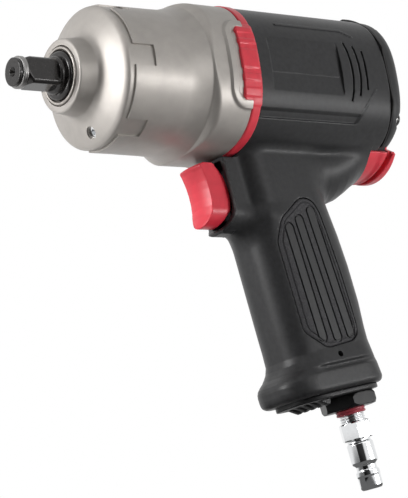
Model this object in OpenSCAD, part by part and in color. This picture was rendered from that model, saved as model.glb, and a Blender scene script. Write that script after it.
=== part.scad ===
/* [Square drive] */
// Width of the square drive across its flats
drive_af = 12.7; // [12:0.1:14]
// Diameter of the circle that trims the square's corners
drive_corner_d = 16.2; // [15.4:0.1:17]
// Length of the square drive, from its end face to the shoulder
drive_len = 20.3; // [17:0.1:30]
// Turn of the square about its axis at rest
drive_turn = 0; // [-45:1:45]
// Diameter of the round tip in front of the friction ring
drive_tip_d = 13; // [12.6:0.1:14]
// Width of the groove for the friction ring
ring_groove_w = 3; // [2:0.1:3.4]
// Distance from the end face to the friction ring's groove
ring_groove_x = 1.7; // [1.5:0.1:2.5]
// Diameter of the round shoulder behind the square
shoulder_d = 17.6; // [17.1:0.1:19]
// Length of the round shoulder behind the square
shoulder_len = 2.8; // [1.5:0.1:5]
// Diameter of the anvil's bearing journal
journal_d = 22.7; // [21:0.1:24]

/* [Hammer case] */
// Diameter of the nose round the anvil
nose_d = 34.2; // [32:0.1:38]
// Length of the nose in front of the case's face
nose_len = 9; // [7:0.5:10]
// Diameter of the case's steep front face
face_d = 64; // [60:0.5:65]
// Length from the nose's end to the case's front barrel
cone_len = 18.5; // [18:0.5:24]
// Outer diameter of the case's front barrel
case_d = 67.6; // [66:0.2:72]
// Length of the straight front barrel behind the cone
case_barrel_len = 33.5; // [30:0.5:45]
// Length of the flare up to the flange
flare_len = 15; // [12:0.5:20]
// Length of the flange behind the flare
flange_len = 14; // [12:0.5:20]
// Diameter over the four corner lobes of the flange
lobe_d = 80.4; // [79:0.2:86]
// Width over the flat sides of the flange and housing
body_w = 74.8; // [73:0.2:78]
// Diameter of the hammer chamber
chamber_d = 60; // [59:0.2:61]
// Count of the shallow pockets round the case
pocket_count = 6; // [3:1:8]
// Width of one pocket round the case
pocket_w = 10; // [6:0.5:14]
// Length of one pocket along the case
pocket_len = 13.5; // [8:0.5:18]
// Depth of one pocket
pocket_depth = 1; // [0.5:0.1:1.5]
// Diameter of the grease port in the case's face
grease_port_d = 5.6; // [4:0.1:6]

/* [Bumper ring] */
// Width of the ring between the case and the housing
ring_w = 5; // [4:0.5:8]
// Width of the ring's wide zone on each side
ring_zone_w = 11.5; // [9:0.5:13]
// Height of the ring's wide zone on each side
ring_zone_h = 38; // [34:0.5:42]
// Height that the wide zone stands proud of the sides
ring_proud = 1.2; // [0.5:0.1:2]

/* [Housing] */
// Length of the housing's barrel along the tool's axis
housing_len = 80.6; // [80:0.2:92]
// Diameter over the four corner lobes of the housing
housing_lobe_d = 80; // [79:0.2:86]
// Lean of the joint between the housing and the rear cap
joint_lean = -2.5; // [-4:0.1:6]
// Length of the rear cap along the tool's axis
cap_len = 10.9; // [8.5:0.1:12]
// Thickness of the gasket at the rear cap
gasket_t = 0.8; // [0.5:0.1:1.5]
// Depth of the grooves and panels in the housing's sides
groove_depth = 1; // [0.5:0.1:1.4]

/* [Handle] */
// Place of the handle's axis along the tool's axis
handle_x = 130.3; // [128:0.5:134]
// Rake of the handle
handle_rake = 8.5; // [4:0.5:12]
// Depth of the handle from front to back
handle_depth = 53.6; // [52:0.2:58]
// Width of the handle
handle_w = 35.2; // [34:0.2:38]
// Distance along the handle from the tool's axis to its base
handle_len = 152.4; // [150:0.2:165]
// Depth of the base from front to back
base_depth = 61.6; // [60:0.2:66]
// Distance from the handle's axis to the back of the base
base_back = 26.5; // [25:0.1:28]
// Width of the base
base_w = 39; // [38:0.2:42]
// Height of the base below the neck groove
base_h = 12.4; // [11:0.2:16]
// Thickness of the grip pads
grip_t = 2.2; // [1.5:0.1:2.8]
// Place of the air inlet behind the handle's axis
inlet_back = 9.8; // [8.5:0.1:10.5]

/* [Trigger] */
// Distance from the tool's axis down to the trigger rod
trigger_z = 56; // [55:0.2:57]
// Travel of the trigger
trigger_travel = 7; // [4:0.5:8]
// Width of the trigger
trigger_w = 16.6; // [15:0.2:18]
// Thickness of the block's wall round the trigger
block_wall = 2.5; // [1.8:0.1:4]
// Diameter of the trigger rod
rod_d = 5; // [4:0.1:6]
// Diameter of the throttle valve's spool
spool_d = 9; // [8:0.1:10]

/* [Air motor] */
// Diameter of the rotor
rotor_d = 40; // [38:0.2:41]
// Length of the rotor between the end plates
rotor_len = 48; // [46:0.2:48]
// Offset of the rotor from the middle of the liner's bore
rotor_offset = 2.6; // [2:0.1:3]
// Diameter of the rotor's shaft
shaft_d = 15; // [14:0.1:16]
// Count of the vanes
vane_count = 6; // [4:1:8]
// Thickness of one vane
vane_t = 2.4; // [1.6:0.1:3]
// Outer diameter of the rotor's bearings
bearing_d = 28; // [27:0.2:30]
// Width of the rotor's bearings
bearing_w = 8; // [6:0.1:8.4]

/* [Hammer] */
// Diameter of the hammer cage
cage_d = 58; // [57:0.1:58.6]
// Length of the hammer cage
cage_len = 43.5; // [42:0.5:46]
// Length of one hammer
hammer_len = 15.5; // [14:0.1:16]
// Diameter of the hammer pins
pin_d = 6; // [5:0.1:7]

/* [Reverse knob] */
// Distance from the tool's axis down to the knob's pivot
knob_drop = 21.7; // [21:0.1:23]
// Outer diameter of the knob
knob_d = 43.4; // [42.6:0.1:45]
// Length of the knob along its axis
knob_len = 19.6; // [19:0.1:21]
// Diameter of the reverse valve
reverse_valve_d = 12; // [10:0.1:13]

/* [Air inlet] */
// Width of the inlet bushing's hexagon across its flats
nut_af = 24.6; // [24:0.2:25.4]
// Height of the inlet bushing's hexagon
nut_h = 6.5; // [5.5:0.1:10]
// Thickness of the outlet plate that the hexagon holds against the base
plate_h = 2.3; // [1.5:0.1:3]
// Turn of the air plug's hexagon about its axis
plug_turn = 5; // [-30:1:30]
// Width of the air plug's hexagon across its flats
plug_af = 14; // [13:0.1:15]
// Height of the air plug's hexagon
plug_hex_h = 8.6; // [7:0.1:10]
// Diameter of the air plug's body
plug_body_d = 12.8; // [12.2:0.1:13]
// Length of the air plug's body
plug_body_len = 12; // [8:0.1:16]
// Diameter of the air plug's nose
plug_nose_d = 11.2; // [10.5:0.1:12]
// Diameter of the air plug's bore
plug_bore_d = 6; // [4:0.1:7]

/* [Fits] */
// Running clearance on the radius of a shaft in its bore
run_gap = 0.05; // [0.02:0.01:0.09]
// Clearance round a piece that slides or screws in
slip_gap = 0.1; // [0.05:0.01:0.2]
// Gap between moving pieces that don't touch
free_gap = 0.5; // [0.3:0.1:0.8]

/* [Hidden] */
$fn = 64;
eps = 0.01;
far = 400;

// Stations along the tool's axis
journal_x = drive_len + shoulder_len;
nose_x = journal_x + 1.9;
bushing_x = journal_x + 1.3;
cone_end_x = nose_x + cone_len;
flare_x = cone_end_x + case_barrel_len;
flange_x = flare_x + flare_len;
ring_x = flange_x + flange_len;
housing_x = ring_x + ring_w;
joint_x = housing_x + housing_len;
cap_x = joint_x + cap_len;

// Case walls and the spigot that centres the case in the housing
chamber_x = cone_end_x + 3.5;
bushing_wall = 2.55;
bushing_d = journal_d + 2 * run_gap + 2 * bushing_wall;
bushing_len = 20.6;
spigot_wall = 1.3;
spigot_len = 3;
spigot_d = chamber_d + 2 * spigot_wall;

// The four long bolts through the corner lobes
bolt_d = 4;
bolt_head_d = 7;
bolt_head_h = 3.2;
bolt_r = (housing_lobe_d + chamber_d) / 4;
bolt_grip = 10;
bolt_seat_depth = 5.6;
washer_t = 0.8;
washer_d = 7.2;
bolt_seat_x = cap_x - bolt_seat_depth;
upper_bolt_angle = 45;
lower_bolt_angle = 35;
bolt_angles = [upper_bolt_angle, 180 - upper_bolt_angle, 180 + lower_bolt_angle, -lower_bolt_angle];

// Motor stations
plate_t = 9;
plate_x = housing_x - 1;
liner_x = plate_x + plate_t;
rear_plate_x = liner_x + rotor_len;
motor_end_x = rear_plate_x + plate_t;
air_room_x = motor_end_x + 5;
liner_bore_d = rotor_d + 2 * rotor_offset + 0.4;
rotor_slack = 0.2;
shaft_end_x = motor_end_x - 0.5;
bearing_recess = plate_t - bearing_w;

// Hammer stations
cage_x = chamber_x + 2.5;
cage_end_x = cage_x + cage_len;
cage_front_t = 4;
cage_rear_t = 5.5;
cage_wall = 4;
hub_len = 10;
hub_d = 26;
hub_x = cage_end_x + hub_len;
pilot_d = 14;
pilot_len = 8;
spline_af = 14;
anvil_core_d = 19;
jaw_d = 29;
jaw_w = 13;
hammer_bore_d = jaw_d + 1.4;
hammer_d = cage_d - 2 * cage_wall - 2 * slip_gap;
pin_r = hammer_d / 2 + slip_gap / 2;
hammer_gap = (cage_len - cage_front_t - cage_rear_t - 2 * hammer_len) / 3;

// Handle stations, counted along the handle's own axis
neck_s = handle_len - base_h;
grip_end_s = neck_s - 7.8;
grip_front_t = 7;
air_bore_d = 14;
exhaust_t = -14.5;
exhaust_size = [11, 24];
base_shift = base_back - base_depth / 2;
mouth_t = -17.5;
deflector_size = [21, 27];
mouth_rise = 3;
deflector_corner_r = 8;
deflector_pocket = 9;
handle_r = 14;
base_r = 16;
pin_s = neck_s - 3.9;
lock_pin_d = 2.8;

// Trigger block and the pieces on the trigger rod's axis
block_w = trigger_w + 2 * free_gap + 2 * block_wall;
block_top = body_w / 2 + 0.5;
block_x = handle_x - 30;
trigger_top = trigger_z - 16;
trigger_bottom = trigger_z + 14.5;
chin_z = trigger_bottom + free_gap + block_wall;
trigger_hollow_x = block_x - 5.9;
trigger_back_x = block_x + 4.5;
bush_x = block_x + 13;
bush_len = 9;
bush_d = rod_d + 7;
sleeve_x = bush_x + bush_len;
sleeve_len = 34;
sleeve_d = spool_d + 6;
spool_x = sleeve_x + 2;
spool_len = 12;
spring_d = spool_d - 0.6;
spring_wire = 0.9;
spring_len = sleeve_len - 2 - spool_len - 3;

// Reverse knob and its valve
valve_x = air_room_x + 0.5;
valve_port_x = valve_x + 4;
valve_port_d = 5;
reverse_bush_len = 8.5;
reverse_bush_wall = 2.2;
skirt_t = 3.6;
skirt_x = joint_x - 3.7;
knob_end_x = skirt_x + knob_len;
knob_plate_x = cap_x + 0.7;
knob_plate_t = 3;
knob_boss_r = knob_d / 2 - skirt_t - free_gap;
knob_half_angle = 57;
knob_groove_x = cap_x - 4.7;
knob_groove_w = 3.4;
knob_groove_depth = 1.8;
rim_drop = 12;
hub_plate_d = 29;
ball_d = 3;
ball_r = 11.5;
ball_x = knob_plate_x - 0.6;

// Air inlet, counted along the handle's own axis
neck_d = 22;
neck_len = 20;
thread_d = 12;
thread_len = 12;
seal_t = 2.6;
nut_end_s = handle_len + plate_h + nut_h;
plug_hex_s = nut_end_s + 6.4;
plug_body_s = plug_hex_s + plug_hex_h;
plug_neck_d = plug_nose_d - 1.4;
plug_neck_len = 3.2;
plug_collar_len = 2.4;
plug_nose_len = 6.5;
plug_nose_s = plug_body_s + plug_body_len + plug_neck_len + plug_collar_len;
plug_end_s = plug_nose_s + plug_nose_len;

// Turns a shape drawn along z so that it lies along the tool's axis from x
module along_x(x = 0) {
    translate([x, 0, 0]) rotate([0, 90, 0]) children();
}

// Cylinder along the tool's axis
module rod_x(x, length, d, y = 0, z = 0) {
    translate([0, y, z]) along_x(x) cylinder(d = d, h = length);
}

// Truncated cone along the tool's axis
module cone_x(x, length, d1, d2) {
    along_x(x) cylinder(d1 = d1, d2 = d2, h = length);
}

// Tube along the tool's axis
module tube_x(x, length, outer_d, inner_d) {
    difference() {
        rod_x(x, length, outer_d);
        rod_x(x - 1, length + 2, inner_d);
    }
}

// Children copied to each corner bolt, at the bolt circle's radius
module at_bolts(r = bolt_r) {
    for (a = bolt_angles) translate([0, r * cos(a), r * sin(a)]) children();
}

// Frame of the handle: z runs down the handle's axis, x to its back
module in_handle() {
    translate([handle_x, 0, 0]) rotate([0, -handle_rake, 0]) rotate([180, 0, 0]) children();
}

// Rectangle with round corners
module rounded_rect(x, y, r) {
    union() {
        square([x - 2 * r, y], center = true);
        square([x, y - 2 * r], center = true);
        for (i = [-1, 1]) for (j = [-1, 1]) translate([i * (x / 2 - r), j * (y / 2 - r)]) circle(r = r);
    }
}

// Rounded square of the flange and the housing, as a prism along the tool's axis
module body_prism(x, length, lobe, w) {
    intersection() {
        rod_x(x, length, lobe);
        translate([x, -w / 2, -w / 2]) cube([length, w, w]);
    }
}

// Half space behind the leaning joint, moved back by a distance
module behind_joint(back = 0) {
    translate([joint_x + back, 0, 0]) rotate([0, joint_lean, 0])
        translate([0, -far / 2, -far / 2]) cube([far, far, far]);
}

// Shapes of the case

nose_r = nose_d / 2;
case_r = case_d / 2;
lobe_r = lobe_d / 2;
flare_steps = 8;

// Points of the nose, the steep face and its rounded shoulder, as [radius, x]
face_r = face_d / 2;
face_x = cone_end_x - 3.5;
function nose_profile() = [
    [0, nose_x], [nose_r - 0.6, nose_x], [nose_r, nose_x + 0.6], [nose_r + 0.9, nose_x + nose_len - 1],
    [nose_r + 2.2, nose_x + nose_len + 1.1], face_foot,
    [face_r, face_x], [case_r - 0.5, face_x + 1], [case_r, cone_end_x], [0, cone_end_x]
];

// Points of the flare, which leaves the barrel softly and rounds over into the lobes
function flare_profile() = concat(
    [[0, flare_x]],
    [for (i = [0 : flare_steps])
        let (t = i / flare_steps)
        [case_r + (lobe_r - case_r) * pow(sin(90 * t), 1.4), flare_x + flare_len * t]],
    [[lobe_r, ring_x], [0, ring_x]]
);

module case_outside() {
    along_x() rotate_extrude() polygon(nose_profile());
    rod_x(cone_end_x, case_barrel_len, case_d);
    intersection() {
        along_x() rotate_extrude() polygon(flare_profile());
        translate([flare_x - 1, -body_w / 2, -body_w / 2]) cube([far, body_w, body_w]);
    }
}

module case_pockets() {
    for (i = [0 : pocket_count - 1]) rotate([360 / pocket_count * i, 0, 0])
        translate([cone_end_x - 2.5, -case_r - 5, -pocket_w / 2])
            cube([pocket_len, 5 + pocket_depth, pocket_w]);
}

// Grease port square to the steep face, below the nose
face_foot = [nose_r + 4.9, nose_x + nose_len + 2.3];
face_turn = atan2(face_r - face_foot[0], face_x - face_foot[1]);
port_r = (face_foot[0] + face_r) / 2 - 0.6;
port_x = face_foot[1] + (port_r - face_foot[0]) / tan(face_turn);
port_recess = 1.2;
module at_grease_port() {
    translate([port_x, 0, -port_r]) rotate([0, face_turn, 0]) children();
}

module hammer_case() {
    color("#a39a90") difference() {
        union() {
            case_outside();
            rod_x(ring_x - 1, spigot_len + ring_w + 1, spigot_d);
            case_beads();
        }
        rod_x(nose_x - 1, bushing_len + 1.4, bushing_d);
        cone_x(chamber_x - 5, 5 + eps, bushing_d, chamber_d);
        rod_x(chamber_x, far, chamber_d);
        case_pockets();
        at_grease_port() translate([0, 0, -12]) cylinder(d = grease_port_d, h = 24);
        at_bolts() rod_x(ring_x - bolt_grip - 2, bolt_grip + 3, bolt_d + slip_gap);
        ring_seats();
    }
}

// Raised bead round each wide zone of the ring
bead_d = 4;
bead_gap = 5;
module case_beads() {
    for (side = [-1, 1]) {
        translate([ring_x + ring_w - ring_zone_w - bead_gap, side * (body_w / 2 - 0.8), -ring_zone_h / 2])
            cylinder(d = bead_d, h = ring_zone_h);
        for (z = [-1, 1])
            translate([0, side * (body_w / 2 - 0.8), z * (ring_zone_h / 2 + 1)])
                along_x(ring_x + ring_w - ring_zone_w - bead_gap) cylinder(d = bead_d, h = bead_gap + 2);
    }
}

// Seats in the flange's flat sides that the ring's wide zones fill
module ring_seats() {
    for (side = [-1, 1])
        translate([ring_x + ring_w - ring_zone_w - slip_gap, side * body_w / 2 - 2, -ring_zone_h / 2 - slip_gap])
            cube([ring_zone_w + slip_gap, 4, ring_zone_h + 2 * slip_gap]);
}

module nose_bushing() {
    color("#8d8a86") difference() {
        rod_x(bushing_x, bushing_len, bushing_d);
        rod_x(bushing_x - 1, bushing_len + 2, journal_d + 2 * run_gap);
        cone_x(bushing_x - eps, 0.8, journal_d + 1.2, journal_d + 2 * run_gap);
    }
}

module grease_plug() {
    color("#6f6d6a") at_grease_port() difference() {
        translate([0, 0, port_recess]) cylinder(d = grease_port_d - slip_gap, h = 5);
        translate([0, 0, port_recess - 1]) cylinder(d = 2.9, h = 3, $fn = 6);
    }
}

module case_ring() {
    color("#d8404f") difference() {
        union() {
            body_prism(ring_x, ring_w, lobe_d + 0.4, body_w + 0.4);
            for (side = [-1, 1])
                translate([ring_x + ring_w - ring_zone_w, side > 0 ? body_w / 2 - 2 : -body_w / 2 - ring_proud,
                           -ring_zone_h / 2])
                    cube([ring_zone_w, 2 + ring_proud, ring_zone_h]);
        }
        rod_x(ring_x - 1, ring_w + 2, spigot_d + 2 * slip_gap);
        at_bolts() rod_x(ring_x - 1, ring_w + 2, bolt_d + 4 * slip_gap);
        ring_grooves();
    }
}

// Grip grooves across each wide zone
groove_heights = [-12.8, -6.3, 6.3, 12.8];
module ring_grooves() {
    for (side = [-1, 1]) for (z = groove_heights)
        translate([ring_x + ring_w - ring_zone_w - 1, side * (body_w / 2 + ring_proud) - 0.7, z - 1.2])
            cube([ring_zone_w + 2, 1.4, 2.4]);
}

// Anvil and its rings

anvil_end_x = cage_end_x + 3;
groove_d = drive_af - 0.7;
tip_bevel = 0.4;
module anvil() {
    color("#3a3735") union() {
        rotate([drive_turn, 0, 0]) intersection() {
            translate([0, -drive_af / 2, -drive_af / 2]) cube([drive_len + 1, drive_af, drive_af]);
            union() {
                cone_x(0, tip_bevel, drive_tip_d - 2 * tip_bevel, drive_tip_d);
                rod_x(tip_bevel, ring_groove_x - tip_bevel, drive_tip_d);
                rod_x(ring_groove_x - eps, ring_groove_w + 2 * eps, groove_d);
                rod_x(ring_groove_x + ring_groove_w, drive_len, drive_corner_d);
            }
        }
        rod_x(drive_len, shoulder_len, shoulder_d);
        difference() {
            rod_x(journal_x, cage_x - 1 - journal_x, journal_d);
            tube_x(o_ring_x, o_ring_w, journal_d + 2, journal_d - 2 * o_ring_depth);
        }
        rod_x(cage_x - 1 - eps, cage_end_x - cage_rear_t - cage_x, anvil_core_d);
        jaws();
        rod_x(cage_end_x - cage_rear_t - 1 - 2 * eps, pilot_len, pilot_d);
    }
}

// One jaw for each hammer, on opposite sides of the anvil
module jaws() {
    for (i = [0, 1])
        intersection() {
            rod_x(hammer_x(i), hammer_len, jaw_d);
            translate([hammer_x(i), i == 0 ? 0 : -jaw_d, -jaw_w / 2]) cube([hammer_len, jaw_d, jaw_w]);
        }
}

function hammer_x(i) = cage_x + cage_front_t + hammer_gap + i * (hammer_len + hammer_gap);

o_ring_x = journal_x + 14;
o_ring_w = 2;
o_ring_depth = 1.2;

module friction_ring() {
    color("#b9b6b2") rotate([drive_turn, 0, 0]) difference() {
        tube_x(ring_groove_x + 0.2, ring_groove_w - 0.4, drive_corner_d - 1.2, groove_d + slip_gap);
        translate([0, -0.7, 0]) cube([ring_groove_x + ring_groove_w, 1.4, drive_corner_d]);
    }
}

module anvil_o_ring() {
    color("#1c1c1c") tube_x(o_ring_x + 0.2, o_ring_w - 0.4, journal_d - 0.1, journal_d - 2 * o_ring_depth + slip_gap);
}

// Twin hammer mechanism

module hammer_cage() {
    color("#5c5a58") difference() {
        union() {
            rod_x(cage_x, cage_len, cage_d);
            rod_x(cage_end_x - eps, hub_len, hub_d);
        }
        rod_x(cage_x + cage_front_t, cage_len - cage_front_t - cage_rear_t, cage_d - 2 * cage_wall);
        rod_x(cage_x - 1, cage_front_t + 2, journal_d + 1);
        rod_x(cage_end_x - cage_rear_t - 1, pilot_len + 2, pilot_d + 2 * run_gap);
        along_x(hub_x - 7) cylinder(d = (spline_af + 2 * slip_gap) / cos(30), h = 8, $fn = 6);
        cage_windows();
        at_pins() rod_x(cage_x - 1, cage_len - 1, pin_d + slip_gap);
    }
}

// Two windows through the cage's wall, clear of the pins
window_w = 22;
module cage_windows() {
    translate([cage_x + cage_front_t + 3, -cage_d, -window_w / 2])
        cube([cage_len - cage_front_t - cage_rear_t - 6, 2 * cage_d, window_w]);
}

module at_pins() {
    for (side = [-1, 1]) translate([0, 0, side * pin_r]) children();
}

// Each hammer is a ring with a lug that strikes the anvil's jaw
lug_r = anvil_core_d / 2 + 0.4;
lug_w = 12;
module hammer_dogs() {
    color("#6e6b68") for (i = [0, 1]) difference() {
        rod_x(hammer_x(i), hammer_len, hammer_d);
        difference() {
            rod_x(hammer_x(i) - 1, hammer_len + 2, hammer_bore_d);
            translate([hammer_x(i) - 1, i == 0 ? -hammer_d : lug_r, -lug_w / 2])
                cube([hammer_len + 2, hammer_d - lug_r, lug_w]);
        }
        at_pins() rod_x(hammer_x(i) - 1, hammer_len + 2, pin_d + slip_gap);
    }
}

module hammer_pins() {
    color("#b5b3b0") at_pins() rod_x(cage_x + 0.5, cage_len - 3, pin_d);
}

// Air motor

module rotor() {
    color("#77746f") difference() {
        union() {
            along_x(hub_x - 6.5) cylinder(d = spline_af / cos(30), h = 6.5, $fn = 6);
            rod_x(hub_x - eps, shaft_end_x - hub_x, shaft_d);
            rod_x(liner_x + rotor_slack, rotor_len - 2 * rotor_slack, rotor_d);
        }
        at_vanes() vane_slot();
    }
}

vane_h = 10;
module at_vanes() {
    for (i = [0 : vane_count - 1]) rotate([360 / vane_count * i, 0, 0]) children();
}

module vane_slot() {
    translate([liner_x - 1, -vane_t / 2 - slip_gap / 2, rotor_d / 2 - vane_h - slip_gap])
        cube([rotor_len + 2, vane_t + slip_gap, vane_h + 2]);
}

module rotor_vanes() {
    color("#8a5a3a") at_vanes()
        translate([liner_x + rotor_slack, -vane_t / 2, rotor_d / 2 - vane_h])
            cube([rotor_len - 2 * rotor_slack, vane_t, vane_h - 0.3]);
}

module cylinder_liner() {
    color("#9a9894") difference() {
        rod_x(liner_x, rotor_len, chamber_d - slip_gap);
        rod_x(liner_x - 1, rotor_len + 2, liner_bore_d, z = rotor_offset);
        for (a = [-24, 0, 24]) rotate([a, 0, 0])
            rod_x(liner_x - 1, rotor_len / 2, 4, z = -liner_bore_d / 2 - 1.6);
        liner_ports();
        dowel_hole(0);
    }
}

// Exhaust ports through the liner's lower wall
module liner_ports() {
    for (i = [-1, 0, 1])
        translate([liner_x + rotor_len / 2 + 9 * i, 0, -chamber_d / 2 - 1]) cylinder(d = 5, h = chamber_d / 2);
}

dowel_d = 3;
dowel_len = 12;
dowel_r = chamber_d / 2 - 3.4;
module dowel_hole(gap) {
    rod_x(rear_plate_x - dowel_len / 2 - 0.5, dowel_len + 1, dowel_d + 2 * gap + slip_gap, z = -dowel_r);
}

module liner_dowel() {
    color("#c2c0bc") rod_x(rear_plate_x - dowel_len / 2, dowel_len, dowel_d, z = -dowel_r);
}

module front_end_plate() {
    color("#8f8c88") difference() {
        rod_x(plate_x, plate_t, chamber_d - slip_gap);
        rod_x(plate_x - 1, plate_t - bearing_recess + 1, bearing_d);
        rod_x(plate_x - 1, plate_t + 2, shaft_d + 3);
    }
}

module rear_end_plate() {
    color("#8f8c88") difference() {
        rod_x(rear_plate_x, plate_t, chamber_d - slip_gap);
        rod_x(rear_plate_x + bearing_recess, plate_t, bearing_d);
        rod_x(rear_plate_x - 1, plate_t + 2, shaft_d + 3);
        dowel_hole(0);
    }
}

race_t = 2;
ball_count = 8;
module rotor_bearing(x) {
    color("#b8b6b3") {
        tube_x(x, bearing_w, bearing_d, bearing_d - 2 * race_t);
        tube_x(x, bearing_w, shaft_d + 2 * run_gap + 2 * race_t, shaft_d + 2 * run_gap);
        tube_x(x + bearing_w / 2 - 0.7, 1.4, bearing_d - 2 * race_t - 0.4, shaft_d + 2 * run_gap + 2 * race_t + 0.4);
    }
}

module front_rotor_bearing() {
    rotor_bearing(plate_x);
}

module rear_rotor_bearing() {
    rotor_bearing(rear_plate_x + bearing_recess);
}

// Housing

module handle_section(grow = 0) {
    rounded_rect(handle_depth + 2 * grow, handle_w + 2 * grow, handle_r + grow);
}

// Front view of a tongue that hangs from a height and ends in a half round, drawn along u = -z
module tongue(top, bottom, w) {
    translate([top, -w / 2]) square([bottom - top - w / 2, w]);
    translate([bottom - w / 2, 0]) circle(d = w);
}

// Side view of the block round the trigger, whose front edge bows back to the finger
function block_profile() = [
    [handle_x, -30], [housing_x, -30], [housing_x, -block_top], [block_x + 1.4, -block_top],
    [block_x + 2.7, -trigger_top - 4], [block_x + 4, -trigger_z + 5], [block_x + 4.9, -trigger_z - 1],
    [block_x + 4.4, -trigger_z - 7], [block_x + 1.6, -trigger_z - 12], [block_x - 1.2, -chin_z + 2],
    [block_x - 2, -chin_z + 1], [block_x - 1.5, -chin_z - 1], [handle_x, -chin_z - 1]
];

module trigger_block() {
    intersection() {
        translate([0, block_w / 2, 0]) rotate([90, 0, 0]) linear_extrude(block_w) polygon(block_profile());
        along_x(block_x - 5) linear_extrude(handle_x - block_x + 5) tongue(20, chin_z, block_w);
    }
}

// Boss behind the handle that carries the reverse valve and overhangs the hand
module tail_boss() {
    hull() {
        rod_x(joint_x - 5, 5, knob_d, z = -knob_drop, $fn = 32);
        rod_x(joint_x - 12, 4, knob_d - 1, z = -knob_drop - 4, $fn = 32);
        rod_x(joint_x - 36, 18, 34, z = -knob_drop - 18.5, $fn = 32);
        rod_x(joint_x - 46, 10, 30, z = -knob_drop - 10, $fn = 32);
    }
}

module handle_solid() {
    in_handle() {
        translate([0, 0, 20]) linear_extrude(neck_s - 20) handle_section();
        hull() {
            translate([0, 0, neck_s - 9]) linear_extrude(1) handle_section();
            translate([base_shift, 0, neck_s + 4]) linear_extrude(1) rounded_rect(base_depth, base_w, base_r);
        }
        translate([base_shift, 0, neck_s + 4]) linear_extrude(base_h - 4)
            rounded_rect(base_depth, base_w, base_r);
    }
}

// Depth that the grip pads are let into the handle's sides
module grip_seat() {
    in_handle() difference() {
        grip_zone(0);
        linear_extrude(handle_len) handle_section(grip_proud - grip_t);
    }
}

// Outline of a grip pad seen from the side, as a prism across the handle
grip_proud = 0.3;
grip_front = grip_front_t - handle_depth / 2;
grip_back = handle_depth / 2 - 13.4;
grip_top_s = 57.9;
module grip_zone(gap) {
    translate([0, far / 2, 0]) rotate([90, 0, 0]) linear_extrude(far) polygon([
        [grip_front + gap, grip_top_s + 16], [grip_front + 1.6 + gap, grip_top_s + 11 + gap],
        [grip_front + 4.3 + gap, grip_top_s + 8.6 + gap], [3.5 - gap, grip_top_s + gap],
        [8 - gap, grip_top_s + 1.9 + gap], [grip_back - 3.2 - gap, grip_top_s + 8.1 + gap],
        [grip_back - gap, grip_end_s - 8], [grip_back - 0.6 - gap, grip_end_s - 2.5 - gap],
        [grip_back - 3.9 - gap, grip_end_s - gap], [grip_front + 9.3 + gap, grip_end_s - gap],
        [grip_front + 5.8 + gap, grip_end_s - 1.2 - gap], [grip_front + 0.8 + gap, grip_end_s - 9]
    ]);
}

// Panel, three slots and a long groove moulded in each side
panel_x = housing_x + 7;
panel_size = [43.6, 26.3];
slot_x = housing_x + 57.8;
slot_pitch = 4.5;
module side_details() {
    for (side = [-1, 1]) {
        face_y = side > 0 ? body_w / 2 - groove_depth : -body_w / 2 - 4;
        translate([panel_x, face_y, -12.8]) cube([panel_size[0], 4 + groove_depth, panel_size[1]]);
        for (i = [0 : 2])
            translate([slot_x + slot_pitch * i, face_y, -15 + 3 * i]) cube([1.4, 4 + groove_depth, 29 - 5 * i]);
        rotate([side * 34, 0, 0])
            translate([housing_x + 3.5, side > 0 ? housing_lobe_d / 2 - 0.9 : -housing_lobe_d / 2 - 4, -1.6])
                cube([60, 4.9, 3.2]);
    }
}

module housing_voids() {
    rod_x(housing_x - 1, motor_end_x - housing_x + 1, chamber_d);
    rod_x(housing_x - 1, spigot_len + 1.2, spigot_d + slip_gap);
    rod_x(motor_end_x - 1, air_room_x - motor_end_x + 1, 48);
    at_bolts() rod_x(housing_x - 1, far, bolt_d + 4 * slip_gap);
    rod_x(air_room_x - 1, far, reverse_valve_d + 2 * run_gap + 2 * reverse_bush_wall, z = -knob_drop);
    in_handle() translate([inlet_back, 0, trigger_z]) cylinder(d = air_bore_d, h = far);
    in_handle() translate([exhaust_t, 0, 20]) linear_extrude(far)
        rounded_rect(exhaust_size[0], exhaust_size[1], exhaust_size[0] / 2 - 0.5);
    in_handle() translate([inlet_back, 0, handle_len - neck_len - 1]) cylinder(d = neck_d + 2 * slip_gap, h = far);
    in_handle() translate([mouth_t, 0, handle_len - deflector_pocket]) linear_extrude(far) deflector_outline(0);
    exhaust_chamber();
    air_passage();
    knob_channel();
    in_handle() translate([inlet_back - neck_d / 2 - lock_pin_d / 2 + 0.6, 0, pin_s])
        rotate([90, 0, 0]) cylinder(d = lock_pin_d, h = far, center = true);
    rod_x(bush_x, sleeve_x - bush_x + 1, bush_d, z = -trigger_z);
    rod_x(sleeve_x, sleeve_len, sleeve_d, z = -trigger_z);
    along_x(block_x - 20) linear_extrude(20 + trigger_travel + 6)
        tongue(trigger_top - free_gap, trigger_bottom + free_gap, trigger_w + 2 * free_gap);
}

// Room below the liner's ports that leads the spent air to the handle
module exhaust_chamber() {
    translate([liner_x, -exhaust_size[1] / 2, -chamber_d / 2 - 3])
        cube([rotor_len - 10, exhaust_size[1], 8]);
}

// Way for the air from the throttle, under the motor, to the reverse valve
passage_d = 9;
passage_z = chamber_d / 2 + passage_d / 2 + 2.5;
module air_passage() {
    in_handle() translate([inlet_back, 0, passage_z]) cylinder(d = passage_d, h = trigger_z - passage_z + 4);
    rod_x(handle_x + 16, valve_port_x - handle_x - 16, passage_d, z = -passage_z);
    translate([valve_port_x, 0, -passage_z]) cylinder(d = valve_port_d, h = passage_z - knob_drop);
}

// Space in front of the housing that the case and the ring take up
module case_room() {
    translate([housing_x - far, -far / 2, -block_top]) cube([far, far, far]);
}

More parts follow.
